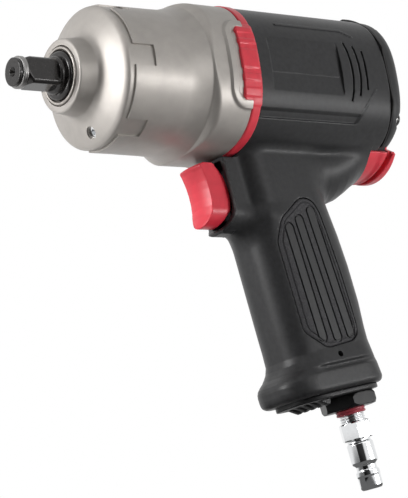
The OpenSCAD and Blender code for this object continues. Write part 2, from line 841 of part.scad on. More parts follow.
// The barrel and the tail, which are one moulding with the handle below
module motor_housing() {
    color("#3b3b3d") difference() {
        union() {
            body_prism(housing_x, 2 * housing_len, housing_lobe_d, body_w);
            difference() {
                tail_boss();
                in_handle() translate([0, 0, 20]) linear_extrude(neck_s - 20) handle_section();
            }
        }
        behind_joint();
        housing_voids();
        side_details();
    }
}

module handle_housing() {
    color("#3b3b3d") difference() {
        union() {
            trigger_block();
            handle_solid();
        }
        body_prism(housing_x, 2 * housing_len, housing_lobe_d, body_w);
        case_room();
        housing_voids();
        grip_seat();
    }
}

module grip_pads() {
    color("#2b2b2d") in_handle() intersection() {
        difference() {
            linear_extrude(handle_len) handle_section(grip_proud);
            translate([0, 0, -1]) linear_extrude(handle_len + 2) handle_section(grip_proud - grip_t + 0.05);
        }
        grip_zone(0.1);
    }
}

cap_drop = 32.5;
cap_chamfer = 4.2;
module cap_section() {
    intersection() {
        body_prism(joint_x - 10, 10 + cap_len, housing_lobe_d - 0.4, body_w - 0.4);
        union() {
            rod_x(joint_x - 10, 10 + cap_len - cap_chamfer, lobe_d);
            cone_x(cap_x - cap_chamfer - eps, cap_chamfer + eps, lobe_d, lobe_d - 2 * cap_chamfer);
        }
        translate([0, -far / 2, -cap_drop]) cube([far, far, far]);
    }
}

module cap_holes() {
    at_bolts() rod_x(joint_x - 20, far, bolt_d + 4 * slip_gap);
    rod_x(joint_x - 20, far, reverse_valve_d + 2 * slip_gap, z = -knob_drop);
    knob_channel();
}

// Half-round channel that the knob's skirt turns in
module knob_channel() {
    translate([0, 0, -knob_drop]) intersection() {
        tube_x(skirt_x - free_gap, far, knob_d + 2 * free_gap, 2 * knob_boss_r);
        translate([0, -far / 2, free_gap - far]) cube([2 * far, far, far]);
    }
}

module rear_gasket() {
    color("#4a4038") difference() {
        cap_section();
        behind_joint(gasket_t);
        translate([joint_x, 0, 0]) rotate([0, joint_lean, 0]) translate([-far, -far / 2, -far / 2]) cube(far);
        rod_x(joint_x - 20, far, 40, z = 6);
        cap_holes();
    }
}

module rear_cap() {
    color("#38383a") difference() {
        intersection() {
            union() {
                cap_section();
                rod_x(joint_x - 10, 10 + cap_len, 2 * knob_boss_r, z = -knob_drop);
            }
            behind_joint(gasket_t);
        }
        cap_holes();
        at_bolts() rod_x(bolt_seat_x, far, bolt_head_d + 0.5);
        rod_x(joint_x - 20, 20 + cap_len - 4, 36, z = 12);
        translate([detent_x, 0, -knob_drop + ball_r]) along_x() cylinder(d = ball_d + slip_gap, h = far);
    }
}

detent_x = cap_x - 6;

module case_bolts() {
    color("#55524f") at_bolts() difference() {
        union() {
            rod_x(ring_x - bolt_grip, bolt_seat_x - ring_x + bolt_grip, bolt_d);
            rod_x(bolt_seat_x + washer_t, bolt_head_h, bolt_head_d);
            rod_x(bolt_seat_x - eps, washer_t + 2 * eps, bolt_d);
        }
        along_x(bolt_seat_x + washer_t + bolt_head_h - 2.2) cylinder(d = 3.9, h = 3, $fn = 6);
    }
}

module bolt_washers() {
    color("#8b8986") at_bolts() tube_x(bolt_seat_x, washer_t, washer_d, bolt_d + slip_gap);
}

// Trigger and throttle

// Side view of the trigger, with its hollow for the finger
function trigger_profile() = [
    [trigger_back_x, -trigger_top - 9], [trigger_back_x - 4.5, -trigger_top - 0.5],
    [trigger_hollow_x - 3.6, -trigger_top - 0.5], [trigger_hollow_x - 4.6, -trigger_top - 1.8],
    [trigger_hollow_x - 2.4, -trigger_top - 6], [trigger_hollow_x - 0.8, -trigger_z + 4],
    [trigger_hollow_x - 0.2, -trigger_z - 2], [trigger_hollow_x - 0.3, -trigger_z - 6],
    [trigger_hollow_x - 1.2, -trigger_bottom + 3.5], [trigger_hollow_x - 1, -trigger_bottom - 1],
    [trigger_back_x, -trigger_bottom - 1]
];

// Hole for the rod in the trigger's back, and the cross pin through both
rod_seat_x = trigger_back_x - 7;
rod_pin_d = 2.5;
module rod_pin_hole() {
    translate([trigger_back_x - 5, 0, -trigger_z - 8]) cylinder(d = rod_pin_d + slip_gap, h = 16);
}

module trigger() {
    color("#d23a4a") difference() {
        intersection() {
            translate([0, trigger_w / 2, 0]) rotate([90, 0, 0]) linear_extrude(trigger_w)
                polygon(trigger_profile());
            along_x(block_x - 20) linear_extrude(40) tongue(20, trigger_bottom, trigger_w);
        }
        rod_x(rod_seat_x, 8, rod_d + slip_gap, z = -trigger_z);
        rod_pin_hole();
    }
}

module trigger_rod() {
    color("#bdbbb8") difference() {
        rod_x(rod_seat_x + slip_gap, spool_x - rod_seat_x - slip_gap, rod_d, z = -trigger_z);
        rod_pin_hole();
    }
}

module trigger_pin() {
    color("#c9c7c4") translate([trigger_back_x - 5, 0, -trigger_z - 7.5]) cylinder(d = rod_pin_d, h = 15);
}

module trigger_bushing() {
    color("#a98b52") difference() {
        rod_x(bush_x, bush_len, bush_d, z = -trigger_z);
        rod_x(bush_x - 1, bush_len + 2, rod_d + 2 * run_gap, z = -trigger_z);
    }
}

module throttle_sleeve() {
    color("#a5a3a0") difference() {
        rod_x(sleeve_x, sleeve_len, sleeve_d, z = -trigger_z);
        rod_x(sleeve_x - 1, sleeve_len - 2, spool_d + 2 * run_gap, z = -trigger_z);
        in_handle() translate([inlet_back, 0, trigger_z]) cylinder(d = 8, h = 20);
    }
}

module throttle_valve() {
    color("#8c6b3d") difference() {
        rod_x(spool_x, spool_len, spool_d, z = -trigger_z);
        translate([0, 0, -trigger_z]) tube_x(spool_x + 4, 4, spool_d + 2, rod_d);
    }
}

module throttle_o_ring() {
    color("#1c1c1c") translate([0, 0, -trigger_z]) tube_x(spool_x + 4.2, 3.6, spool_d - 0.1, rod_d + slip_gap);
}

module throttle_spring() {
    color("#b4b2ae") translate([0, 0, -trigger_z])
        tube_x(spool_x + spool_len, spring_len, spring_d, spring_d - 2 * spring_wire);
}

// Reverse knob and its valve

rim_x = knob_groove_x + knob_groove_w;

// Wedge below the knob's axis, which bounds the skirt
module knob_wedge() {
    steps = 4;
    rotate([0, 90, 0]) linear_extrude(far)
        polygon(concat([[0, 0]], [for (i = [-steps : steps])
            let (a = i * knob_half_angle / steps) 2 * knob_d * [cos(a), sin(a)]]));
}

module knob_skirt() {
    intersection() {
        union() {
            tube_x(skirt_x, knob_groove_x - skirt_x, knob_d, knob_d - 2 * skirt_t);
            tube_x(skirt_x, knob_plate_x - skirt_x + eps, knob_d - 2 * knob_groove_depth, knob_d - 2 * skirt_t);
            tube_x(rim_x, knob_plate_x - rim_x + eps, knob_d, knob_d - 2 * skirt_t);
        }
        knob_wedge();
    }
}

module knob_plate() {
    rod_x(knob_plate_x, knob_plate_t, hub_plate_d);
    intersection() {
        rod_x(knob_plate_x, knob_plate_t, knob_d - 2 * knob_groove_depth);
        knob_wedge();
    }
}

// Thick lower rim that the thumb pushes from either side
rim_bevel = 1.5;
module knob_rim() {
    intersection() {
        union() {
            rod_x(knob_plate_x, knob_end_x - knob_plate_x - rim_bevel, knob_d);
            cone_x(knob_end_x - rim_bevel - eps, rim_bevel, knob_d, knob_d - 2 * rim_bevel);
        }
        translate([0, -far / 2, -far - rim_drop]) cube([far, far, far]);
    }
}

// Groove that the detent ball runs in
module detent_groove() {
    along_x(ball_x) rotate_extrude() translate([ball_r, 0]) circle(d = ball_d);
}

module reverse_knob() {
    color("#d8404f") difference() {
        translate([0, 0, -knob_drop]) {
            knob_skirt();
            knob_plate();
            knob_rim();
        }
        rod_x(knob_plate_x - 1, far, 4 + slip_gap, z = -knob_drop);
        translate([0, 0, -knob_drop]) detent_groove();
    }
}

module reverse_valve() {
    color("#b39b63") difference() {
        rod_x(valve_x, knob_plate_x - 0.05 - valve_x, reverse_valve_d, z = -knob_drop);
        translate([valve_x + 2, -reverse_valve_d, -knob_drop - 1.5]) cube([5, 2 * reverse_valve_d, reverse_valve_d]);
        rod_x(knob_plate_x - 8, 9, 4 + slip_gap, z = -knob_drop);
    }
}

module reverse_bushing() {
    color("#c2a86b") difference() {
        rod_x(valve_x - 0.5, reverse_bush_len, reverse_valve_d + 2 * run_gap + 2 * reverse_bush_wall, z = -knob_drop);
        rod_x(valve_x - 1.5, reverse_bush_len + 2, reverse_valve_d + 2 * run_gap, z = -knob_drop);
        translate([valve_port_x - 2, -far / 2, -knob_drop - 2]) cube([4, far, 4]);
        translate([valve_port_x, 0, -knob_drop - reverse_valve_d]) cylinder(d = valve_port_d, h = reverse_valve_d);
    }
}

module knob_screw() {
    color("#c4c2bf") difference() {
        union() {
            rod_x(knob_plate_x - 7.5, 10.5, 4, z = -knob_drop);
            rod_x(knob_plate_x + 3, 2.2, 7, z = -knob_drop);
        }
        translate([knob_plate_x + 4.2, -4, -knob_drop - 0.5]) cube([2, 8, 1]);
    }
}

module detent_ball() {
    color("#d6d4d1") translate([ball_x, 0, -knob_drop + ball_r]) sphere(d = ball_d - slip_gap);
}

module detent_spring() {
    color("#b4b2ae") translate([0, 0, -knob_drop + ball_r])
        tube_x(detent_x, ball_x - ball_d / 2 + 0.15 - detent_x, ball_d - 0.6, ball_d - 1.6);
}

// Air inlet and exhaust at the handle's base

module inlet_bushing() {
    color("#222224") in_handle() translate([inlet_back, 0, 0]) difference() {
        union() {
            translate([0, 0, handle_len + plate_h + 0.1]) cylinder(d = nut_af / cos(30), h = nut_h - 0.1, $fn = 6);
            translate([0, 0, handle_len - neck_len]) cylinder(d = neck_d, h = neck_len + plate_h + 1);
        }
        translate([0, 0, handle_len - neck_len - 1]) cylinder(d = thread_d - 2, h = far);
        translate([0, 0, nut_end_s - thread_len]) cylinder(d = thread_d + slip_gap, h = far);
        translate([0, 0, pin_s - lock_pin_d / 2 - 0.2]) difference() {
            cylinder(d = neck_d + 2, h = lock_pin_d + 0.4);
            translate([0, 0, -1]) cylinder(d = neck_d - 1.6, h = lock_pin_d + 3);
        }
    }
}

module inlet_screen() {
    color("#9b9996") in_handle() translate([inlet_back, 0, handle_len - neck_len - 14]) difference() {
        cylinder(d = thread_d - 2.2, h = 18);
        translate([0, 0, 1]) cylinder(d = thread_d - 3.4, h = 18);
        for (a = [0, 60, 120]) for (z = [3 : 3 : 12])
            translate([0, 0, z]) rotate([0, 90, a]) cylinder(d = 1.6, h = 20, center = true);
    }
}

module inlet_seal() {
    color("#9e2f3d") in_handle() translate([inlet_back, 0, nut_end_s + 0.05]) difference() {
        cylinder(d = thread_d + 2.4, h = seal_t);
        translate([0, 0, -1]) cylinder(d = thread_d + slip_gap, h = seal_t + 2);
    }
}

// Outline of the air plug, as [radius, distance along the handle]
function plug_profile() = [
    [0, nut_end_s - thread_len + 1], [thread_d / 2 - 1, nut_end_s - thread_len + 1],
    [thread_d / 2, nut_end_s - thread_len + 2], [thread_d / 2, plug_hex_s + 1],
    [plug_body_d / 2 - 0.8, plug_body_s - 1], [plug_body_d / 2 - 0.8, plug_body_s + 0.6],
    [plug_body_d / 2, plug_body_s + 1.4], [plug_body_d / 2, plug_body_s + plug_body_len - 1],
    [plug_neck_d / 2, plug_body_s + plug_body_len + 0.6],
    [plug_neck_d / 2, plug_body_s + plug_body_len + plug_neck_len - 0.6],
    [plug_body_d / 2 - 0.6, plug_body_s + plug_body_len + plug_neck_len],
    [plug_body_d / 2 - 0.6, plug_nose_s - 0.4], [plug_nose_d / 2, plug_nose_s],
    [plug_nose_d / 2, plug_end_s - 1], [plug_nose_d / 2 - 1, plug_end_s], [0, plug_end_s]
];

module air_plug() {
    color("#d9d8d6") in_handle() translate([inlet_back, 0, 0]) difference() {
        union() {
            rotate_extrude() polygon(plug_profile());
            translate([0, 0, plug_hex_s]) rotate([0, 0, plug_turn]) cylinder(d = plug_af / cos(30), h = plug_hex_h, $fn = 6);
        }
        cylinder(d = plug_bore_d, h = far);
    }
}

module base_pin() {
    color("#5a5855") in_handle() translate([inlet_back - neck_d / 2 - lock_pin_d / 2 + 0.6, 0, pin_s])
        rotate([90, 0, 0]) cylinder(d = lock_pin_d - slip_gap, h = handle_w - 5, center = true);
}

module deflector_outline(gap) {
    rounded_rect(deflector_size[0] - 2 * gap, deflector_size[1] - 2 * gap, deflector_corner_r - gap);
}

// Outlet plate under the base, held by the inlet bushing, with a finned hood over the mouth
fin_count = 5;
fin_pitch = 5.2;
fin_t = 2.6;
hood_front_t = -25;
hood_tip_t = -12.7;
hood_drop = 2.8;
plate_size = [50.4, 35.6];
plate_shift = -2.4;
function hood_profile() = [
    [hood_front_t, -0.5], [hood_tip_t, plate_h + hood_drop], [hood_tip_t + 1.8, plate_h + hood_drop - 0.5],
    [hood_tip_t + 2.8, -0.5]
];
module exhaust_deflector() {
    hood_w = fin_pitch * (fin_count - 1) + fin_t;
    color("#2a2a2c") in_handle() difference() {
        union() {
            translate([mouth_t, 0, handle_len - mouth_rise]) linear_extrude(mouth_rise + plate_h)
                deflector_outline(slip_gap);
            translate([plate_shift, 0, handle_len + 0.05]) linear_extrude(plate_h - 0.05)
                rounded_rect(plate_size[0], plate_size[1], base_r);
            translate([0, hood_w / 2, handle_len]) rotate([90, 0, 0]) linear_extrude(hood_w) polygon(hood_profile());
        }
        translate([inlet_back, 0, handle_len - 1]) cylinder(d = neck_d + 2 * slip_gap, h = far);
        for (i = [0 : fin_count - 2])
            translate([hood_front_t + 1.5, fin_pitch * (i - (fin_count - 2) / 2) - (fin_pitch - fin_t) / 2,
                       handle_len - mouth_rise - 1])
                cube([hood_tip_t - hood_front_t + 5, fin_pitch - fin_t, far]);
    }
}

module exhaust_muffler() {
    color("#8c877f") in_handle() translate([mouth_t, 0, handle_len - deflector_pocket + slip_gap])
        linear_extrude(deflector_pocket - mouth_rise - slip_gap) deflector_outline(2 * slip_gap);
}

hammer_case();
nose_bushing();
grease_plug();
case_ring();
anvil();
friction_ring();
anvil_o_ring();
hammer_cage();
hammer_dogs();
hammer_pins();
rotor();
rotor_vanes();
cylinder_liner();
liner_dowel();
front_end_plate();
rear_end_plate();
front_rotor_bearing();
rear_rotor_bearing();
motor_housing();
rear_gasket();
rear_cap();
case_bolts();
bolt_washers();
handle_housing();
grip_pads();
trigger();
trigger_rod();
trigger_pin();
trigger_bushing();
throttle_sleeve();
throttle_valve();
throttle_o_ring();
throttle_spring();
reverse_knob();
reverse_valve();
reverse_bushing();
knob_screw();
detent_ball();
detent_spring();
inlet_bushing();
inlet_screen();
inlet_seal();
air_plug();
base_pin();
exhaust_deflector();
exhaust_muffler();
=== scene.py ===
"""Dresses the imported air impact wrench: moulded and cast skins, finishes, floor, lights and camera."""
from contextlib import contextmanager
from functools import reduce
from math import ceil, cos, hypot, pi, radians, sin

import bpy
import bmesh
import numpy as np
from mathutils import Matrix, Vector


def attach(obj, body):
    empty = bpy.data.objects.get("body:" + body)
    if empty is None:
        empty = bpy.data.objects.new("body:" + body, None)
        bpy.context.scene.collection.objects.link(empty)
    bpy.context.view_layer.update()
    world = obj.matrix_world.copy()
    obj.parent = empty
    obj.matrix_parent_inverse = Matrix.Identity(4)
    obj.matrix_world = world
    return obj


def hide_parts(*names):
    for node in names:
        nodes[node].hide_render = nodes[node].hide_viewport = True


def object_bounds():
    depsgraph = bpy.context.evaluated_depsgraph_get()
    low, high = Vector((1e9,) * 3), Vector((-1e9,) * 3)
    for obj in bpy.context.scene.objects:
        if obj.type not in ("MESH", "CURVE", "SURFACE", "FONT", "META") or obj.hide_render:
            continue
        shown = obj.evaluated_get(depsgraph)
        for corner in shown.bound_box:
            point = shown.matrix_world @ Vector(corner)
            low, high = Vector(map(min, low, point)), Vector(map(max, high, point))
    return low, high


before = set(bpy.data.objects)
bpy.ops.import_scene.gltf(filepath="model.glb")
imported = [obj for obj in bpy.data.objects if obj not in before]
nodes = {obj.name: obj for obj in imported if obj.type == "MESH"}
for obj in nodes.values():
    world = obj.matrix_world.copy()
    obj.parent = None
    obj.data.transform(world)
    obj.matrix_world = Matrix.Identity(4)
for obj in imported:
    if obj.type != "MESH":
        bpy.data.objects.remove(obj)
cad_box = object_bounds()
scene = bpy.context.scene

MM = 0.001
FINE = 1.0
CREASE = 42  # degrees between a form's normals and a face, from where the edge is crisp

# ---------------- sizes, in millimetres
# x runs back from the tip of the drive, z is up, and the near side has a negative y
side_half = 37.4
top_half = 36.4
corner_power = 2.6
section_half = 37.0
nose_x = 25.0
ring_x = 106.0
housing_x = 111.0
joint_x = 191.6
joint_lean = radians(-2.5)
cap_x = 202.5
rear_round = 8.0
chamber_r = 30.0

# in the handle, s runs down its axis from the barrel's axis, and t runs back from it
handle_x = 130.3
handle_rake = radians(8.5)
rake_sin, rake_cos = sin(handle_rake), cos(handle_rake)
handle_front = 26.8
handle_half_w = 17.6
handle_edge_r = 15.0
base_end = 152.4
plate_end = 154.7
mouth_t = -17.5
inlet_t = 9.8
exhaust_t = -14.5

block_roof = -37.9
block_chin = -73.4
block_half = 10.8
trigger_z = -56.0
trigger_half = 8.3
knob_z = -21.7
knob_r = 22.4
hub_r = 17.5
track_r = 11.5
bolt_r = 35.0
bolt_hole_r = 2.2
bolt_angles = [radians(a) for a in (45, 135, 215, 325)]
bolt_seat_x = 196.9


# ---------------- distances to plain forms
def meet(*forms):
    """What all the forms share."""
    return reduce(np.maximum, forms)


def join(*forms):
    """Union of the forms."""
    return reduce(np.minimum, forms)


def both(a, b, k=0.0):
    """Union of two forms, with a fillet of size k."""
    if k <= 0:
        return np.minimum(a, b)
    h = np.maximum(k - abs(a - b), 0) / k
    return np.minimum(a, b) - h * h * k * 0.25


def shared(a, b, k=0.0):
    """What two forms share, with an edge rounded by k."""
    return -both(-a, -b, k)


def less(a, b, k=0.0):
    """Form a without form b."""
    return -both(-a, b, k)


def between(v, low, high):
    """Distance to the slab between two stations."""
    return meet(low - v, v - high)


def from_axis(u, v):
    """Distance from an axis."""
    return np.sqrt(u * u + v * v)


def rounded_box(u, v, half_u, half_v, r):
    """Distance to a rectangle with round corners."""
    qu = abs(u) - half_u + r
    qv = abs(v) - half_v + r
    return from_axis(meet(qu, 0), meet(qv, 0)) + join(meet(qu, qv), 0) - r


def side_box(x, z, box):
    """Distance to a rounded rectangle in the side view: its middle, its half sizes and its corners' radius."""
    middle_x, middle_z, half_x, half_z, r = box
    return rounded_box(x - middle_x, z - middle_z, half_x, half_z, r)


def rod(x, u, v, x0, x1, r):
    """Distance to a rod along x between two stations."""
    return meet(from_axis(u, v) - r, between(x, x0, x1))


def outline(u, v, points):
    """Signed distance to a closed outline given by its corners."""
    best = np.full(np.shape(u), 1e9)
    inside = np.zeros(np.shape(u), bool)
    for (ax, ay), (bx, by) in zip(points, points[1:] + points[:1]):
        ex, ey = bx - ax, by - ay
        wx, wy = u - ax, v - ay
        t = np.clip((wx * ex + wy * ey) / (ex * ex + ey * ey), 0, 1)
        best = np.minimum(best, (wx - t * ex) ** 2 + (wy - t * ey) ** 2)
        if ay != by:
            inside ^= ((ay > v) != (by > v)) & (u < ax + (v - ay) * ex / ey)
    return np.where(inside, -1.0, 1.0) * np.sqrt(best)


def strip(u, v, start, end, r):
    """Distance to a round-ended strip between two points."""
    ex, ey = end[0] - start[0], end[1] - start[1]
    wx, wy = u - start[0], v - start[1]
    t = np.clip((wx * ex + wy * ey) / (ex * ex + ey * ey), 0, 1)
    return from_axis(wx - t * ex, wy - t * ey) - r


def tongue(y, z, half, bottom):
    """Distance to a hanging tongue with a half-round end."""
    return from_axis(y, meet(bottom + half - z, 0)) - half


def hexagon(u, v, half):
    """Distance to a hexagon with two flats across u."""
    return meet(abs(u), abs(u) * 0.5 + abs(v) * 0.866) - half


def step(a, b, v):
    """Soft step from 0 at a to 1 at b."""
    t = np.clip((v - a) / (b - a), 0, 1)
    return t * t * (3 - 2 * t)


def body_section(y, z, extra=0.0):
    """Distance to the soft square section that the flange, the ring and the housing share."""
    u = abs(y) / side_half
    v = abs(z) / top_half
    return ((u ** corner_power + v ** corner_power) ** (1 / corner_power) - 1) * section_half - extra


def in_handle(x, z):
    """Distance down the handle's axis, and distance behind that axis."""
    return (x - handle_x) * rake_sin - z * rake_cos, (x - handle_x) * rake_cos + z * rake_sin


def from_handle(s, t):
    """Point of the side view at a place in the handle's frame."""
    return handle_x + s * rake_sin + t * rake_cos, -s * rake_cos + t * rake_sin


def joint_plane(x, z):
    """Distance behind the leaning joint of the rear cap."""
    return (x - joint_x) * cos(joint_lean) - z * sin(joint_lean)


def bolt_axis(y, z, angle):
    """Distance from the axis of the bolt at an angle."""
    return from_axis(y - bolt_r * cos(angle), z - bolt_r * sin(angle))


# ---------------- skins from distances
def skin(form, low, high, cell):
    """Vertices, quads and normals of a form's surface, with its crisp edges kept."""
    low = np.array(low, float) - 1.5 * cell
    count = [int(ceil((b - a) / cell)) + 3 for a, b in zip(low, high)]
    axes = [(low[i] + cell * np.arange(count[i])).astype(np.float32) for i in range(3)]
    d = np.asarray(form(*np.meshgrid(*axes, indexing="ij")), np.float32)
    inside = d < 0
    points, normals, cells = [], [], []
    for axis in range(3):
        e = np.eye(3, dtype=int)[axis]
        a = [slice(0, n - 1) if i == axis else slice(1, n - 1) for i, n in enumerate(count)]
        b = [slice(1, n) if i == axis else slice(1, n - 1) for i, n in enumerate(count)]
        where = np.argwhere(inside[tuple(a)] != inside[tuple(b)]) + (1 - e)
        d0 = d[tuple(where.T)].astype(float)
        d1 = d[tuple((where + e).T)].astype(float)
        t0, t1 = np.zeros(len(where)), np.ones(len(where))
        for _ in range(3):
            t = t0 + (t1 - t0) * np.clip(d0 / (d0 - d1), 0.02, 0.98)
            p = low + cell * (where + t[:, None] * e)
            dp = form(p[:, 0], p[:, 1], p[:, 2])
            near = (dp < 0) == (d0 < 0)
            t0, d0 = np.where(near, t, t0), np.where(near, dp, d0)
            t1, d1 = np.where(near, t1, t), np.where(near, d1, dp)
        p = low + cell * (where + (t0 + (t1 - t0) * d0 / (d0 - d1 + 1e-12))[:, None] * e)
        points.append(p)
        normals.append(slope(form, p))
        others = [i for i in range(3) if i != axis]
        corner = []
        for back in ((0, 0), (1, 0), (1, 1), (0, 1)):
            c = where.copy()
            c[:, others] -= back
            corner.append((c[:, 0] * count[1] + c[:, 1]) * count[2] + c[:, 2])
        corner = np.stack(corner, 1)
        flip = inside[tuple(where.T)] == (axis == 1)
        corner[flip] = corner[flip][:, ::-1]
        cells.append(corner)
    points, normals, cells = map(np.concatenate, (points, normals, cells))
    ids, faces = np.unique(cells, return_inverse=True)
    faces = faces.reshape(-1, 4)
    flat = faces.reshape(-1)
    n = len(ids)

    def gather(v):
        return np.bincount(flat, np.repeat(v, 4), minlength=n)

    total = gather(np.ones(len(points)))
    middle = np.stack([gather(points[:, i]) for i in range(3)], 1) / total[:, None]
    nn = np.empty((n, 3, 3))
    for i in range(3):
        for j in range(3):
            nn[:, i, j] = gather(normals[:, i] * normals[:, j])
    reach = (normals * points).sum(1)
    right = np.stack([gather(normals[:, i] * reach) for i in range(3)], 1) - np.einsum("nij,nj->ni", nn, middle)
    nn += (0.04 * total)[:, None, None] * np.eye(3)
    vertices = middle + np.linalg.solve(nn, right[:, :, None])[:, :, 0]
    place = np.stack([ids // (count[1] * count[2]), ids // count[2] % count[1], ids % count[2]], 1)
    least = low + cell * place
    vertices = np.clip(vertices, least - 0.05 * cell, least + 1.05 * cell)
    return vertices, faces, slope(form, vertices)


def slope(form, p, e=0.02):
    """Unit normals of a form at points."""
    g = np.zeros(p.shape)
    for k in ((1, -1, -1), (-1, -1, 1), (-1, 1, -1), (1, 1, 1)):
        k = np.array(k, float)
        q = p + e * k
        g += k * np.asarray(form(q[:, 0], q[:, 1], q[:, 2]), float)[:, None]
    return g / np.maximum(np.linalg.norm(g, axis=1), 1e-9)[:, None]


def linked(name, data):
    """New object in the scene."""
    obj = bpy.data.objects.new(name, data)
    scene.collection.objects.link(obj)
    return obj


def drop(obj):
    """Removes a helper object."""
    bpy.data.objects.remove(obj, do_unlink=True)


def baked(obj):
    """Plain mesh of an object with its modifiers."""
    bpy.context.view_layer.update()
    return bpy.data.meshes.new_from_object(obj.evaluated_get(bpy.context.evaluated_depsgraph_get()))


def plain_mesh(name, vertices, faces):
    """Smooth mesh object in metres from points in millimetres."""
    mesh = bpy.data.meshes.new(name)
    mesh.from_pydata((np.asarray(vertices) * MM).tolist(), [], np.asarray(faces).tolist())
    mesh.validate()
    obj = linked(name, mesh)
    mesh.shade_smooth()
    return obj


def moulded(name, form, low, high, cell, crease=CREASE):
    """Piece whose skin comes from a form, with its normals taken from that form."""
    vertices, faces, normals = skin(form, low, high, cell * FINE)
    obj = plain_mesh(name, vertices, faces)
    soften(obj, normals, crease)
    return obj


def soften(obj, normals, crease=CREASE):
    """Smooth normals where they agree with the faces, and flat ones at crisp edges."""
    mesh = obj.data
    corner = np.empty(len(mesh.loops), int)
    mesh.loops.foreach_get("vertex_index", corner)
    facing = np.empty(len(mesh.polygons) * 3)
    mesh.polygons.foreach_get("normal", facing)
    sides = np.empty(len(mesh.polygons), int)
    mesh.polygons.foreach_get("loop_total", sides)
    facing = np.repeat(facing.reshape(-1, 3), sides, axis=0)
    own = normals[corner]
    agree = (own * facing).sum(1) > cos(radians(crease))
    mesh.normals_split_custom_set(np.where(agree[:, None], own, facing).tolist())


def turned(name, profile, angles=96, frame_of=None, shape=None):
    """Closed ring of a profile [(along, radius), ...] turned about an axis."""
    a = np.linspace(0, 2 * pi, angles, endpoint=False) if np.isscalar(angles) else np.asarray(angles)
    profile = np.asarray(profile, float)
    along = np.repeat(profile[:, :1], len(a), 1)
    radius = np.repeat(profile[:, 1:], len(a), 1)
    if shape is not None:
        radius = shape(along, radius, a[None, :])
    y, z = radius * np.cos(a), radius * np.sin(a)
    points = np.stack([along, y, z], 2) if frame_of is None else frame_of(along, y, z)
    m, n = len(profile), len(a)
    i, j = np.meshgrid(np.arange(m), np.arange(n), indexing="ij")
    faces = np.stack([i * n + j, i * n + (j + 1) % n, (i + 1) % m * n + (j + 1) % n, (i + 1) % m * n + j], 2)
    obj = plain_mesh(name, points.reshape(-1, 3), faces.reshape(-1, 4))
    cleaned(obj)
    return obj


def held(profile, run=1.0, gap=0.12):
    """Profile with stations added near the ends of its long runs, so that they stay straight when shaded."""
    out = [profile[0]]
    for (x0, r0), (x1, r1) in zip(profile, profile[1:]):
        length = hypot(x1 - x0, r1 - r0)
        if length > run:
            k = gap / length
            out += [(x0 + (x1 - x0) * k, r0 + (r1 - r0) * k), (x1 - (x1 - x0) * k, r1 - (r1 - r0) * k)]
        out.append((x1, r1))
    return out


@contextmanager
def edited(mesh):
    """Editable form of a mesh, written back at the end."""
    bm = bmesh.new()
    bm.from_mesh(mesh)
    yield bm
    bm.to_mesh(mesh)
    bm.free()


def cleaned(obj):
    """Doubles merged, faces turned outwards and crisp edges marked."""
    with edited(obj.data) as bm:
        bmesh.ops.remove_doubles(bm, verts=bm.verts, dist=1e-6)
        bmesh.ops.recalc_face_normals(bm, faces=bm.faces)
    obj.data.shade_smooth()
    obj.data.set_sharp_from_angle(angle=radians(38))


def bore(obj, start, end, radius):
    """Cuts a round hole between two points, given in millimetres."""
    middle = Matrix.Translation((start + end) / 2 * MM)
    turn = (end - start).to_track_quat("Z", "Y").to_matrix().to_4x4()
    cutter = linked("cutter", bpy.data.meshes.new("cutter"))
    with edited(cutter.data) as bm:
        bmesh.ops.create_cone(bm, cap_ends=True, segments=40, radius1=radius * MM, radius2=radius * MM,
                              depth=(end - start).length * MM, matrix=middle @ turn)
    mod = obj.modifiers.new("bore", "BOOLEAN")
    mod.object = cutter
    mod.solver = "EXACT"
    made = baked(obj)
    obj.modifiers.remove(mod)
    made.name = obj.data.name
    obj.data = made
    drop(cutter)
    cleaned(obj)


def down_handle(along, y, z):
    """Points of a turned piece whose axis is the air inlet's, down the handle."""
    x, height = from_handle(along, inlet_t + z)
    return np.stack([x, y, height], 2)


# ---------------- node trees
def fill(tree, node, values):
    """Gives inputs of a node their values, or links from outputs; a node stands for its first output."""
    for key, value in values.items():
        if isinstance(value, bpy.types.Node):
            value = next(output for output in value.outputs if output.enabled)
        if isinstance(value, bpy.types.NodeSocket):
            tree.links.new(value, node.inputs[key])
        else:
            node.inputs[key].default_value = value


def add(tree, kind, values=None, **settings):
    """New node with its settings and inputs."""
    node = tree.nodes.new(kind)
    for key, value in settings.items():
        setattr(node, key, value)
    fill(tree, node, values or {})
    return node


def calc(tree, operation, a, b):
    """Node for a sum on two values."""
    return add(tree, "ShaderNodeMath", {0: a, 1: b}, operation=operation)


def new_tree(name, inputs):
    """Geometry tree with named inputs, each given by its default number or its type."""
    tree = bpy.data.node_groups.new(name, "GeometryNodeTree")
    tree.interface.new_socket("Geometry", in_out="INPUT", socket_type="NodeSocketGeometry")
    for label, value in inputs.items():
        kind = value if isinstance(value, str) else "Float"
        socket = tree.interface.new_socket(label, in_out="INPUT", socket_type="NodeSocket" + kind)
        if kind == "Float":
            socket.default_value = value
    tree.interface.new_socket("Geometry", in_out="OUTPUT", socket_type="NodeSocketGeometry")
    return tree, tree.nodes.new("NodeGroupInput").outputs


def realized(tree, given, geometry):
    """Ends a geometry tree with real geometry in the finish that it was given."""
    real = add(tree, "GeometryNodeRealizeInstances", {"Geometry": geometry})
    paint = add(tree, "GeometryNodeSetMaterial", {"Geometry": real, "Material": given["Finish"]})
    fill(tree, tree.nodes.new("NodeGroupOutput"), {"Geometry": paint})
    return tree


def grow(obj, tree, values, name):
    """Plain mesh object of an object once a geometry tree has run on it."""
    mod = obj.modifiers.new("grow", "NODES")
    mod.node_group = tree
    for item in tree.interface.items_tree:
        if item.name in values:
            mod[item.identifier] = values[item.name]
    mesh = baked(obj)
    obj.modifiers.remove(mod)
    mesh.name = name
    return linked(name, mesh)


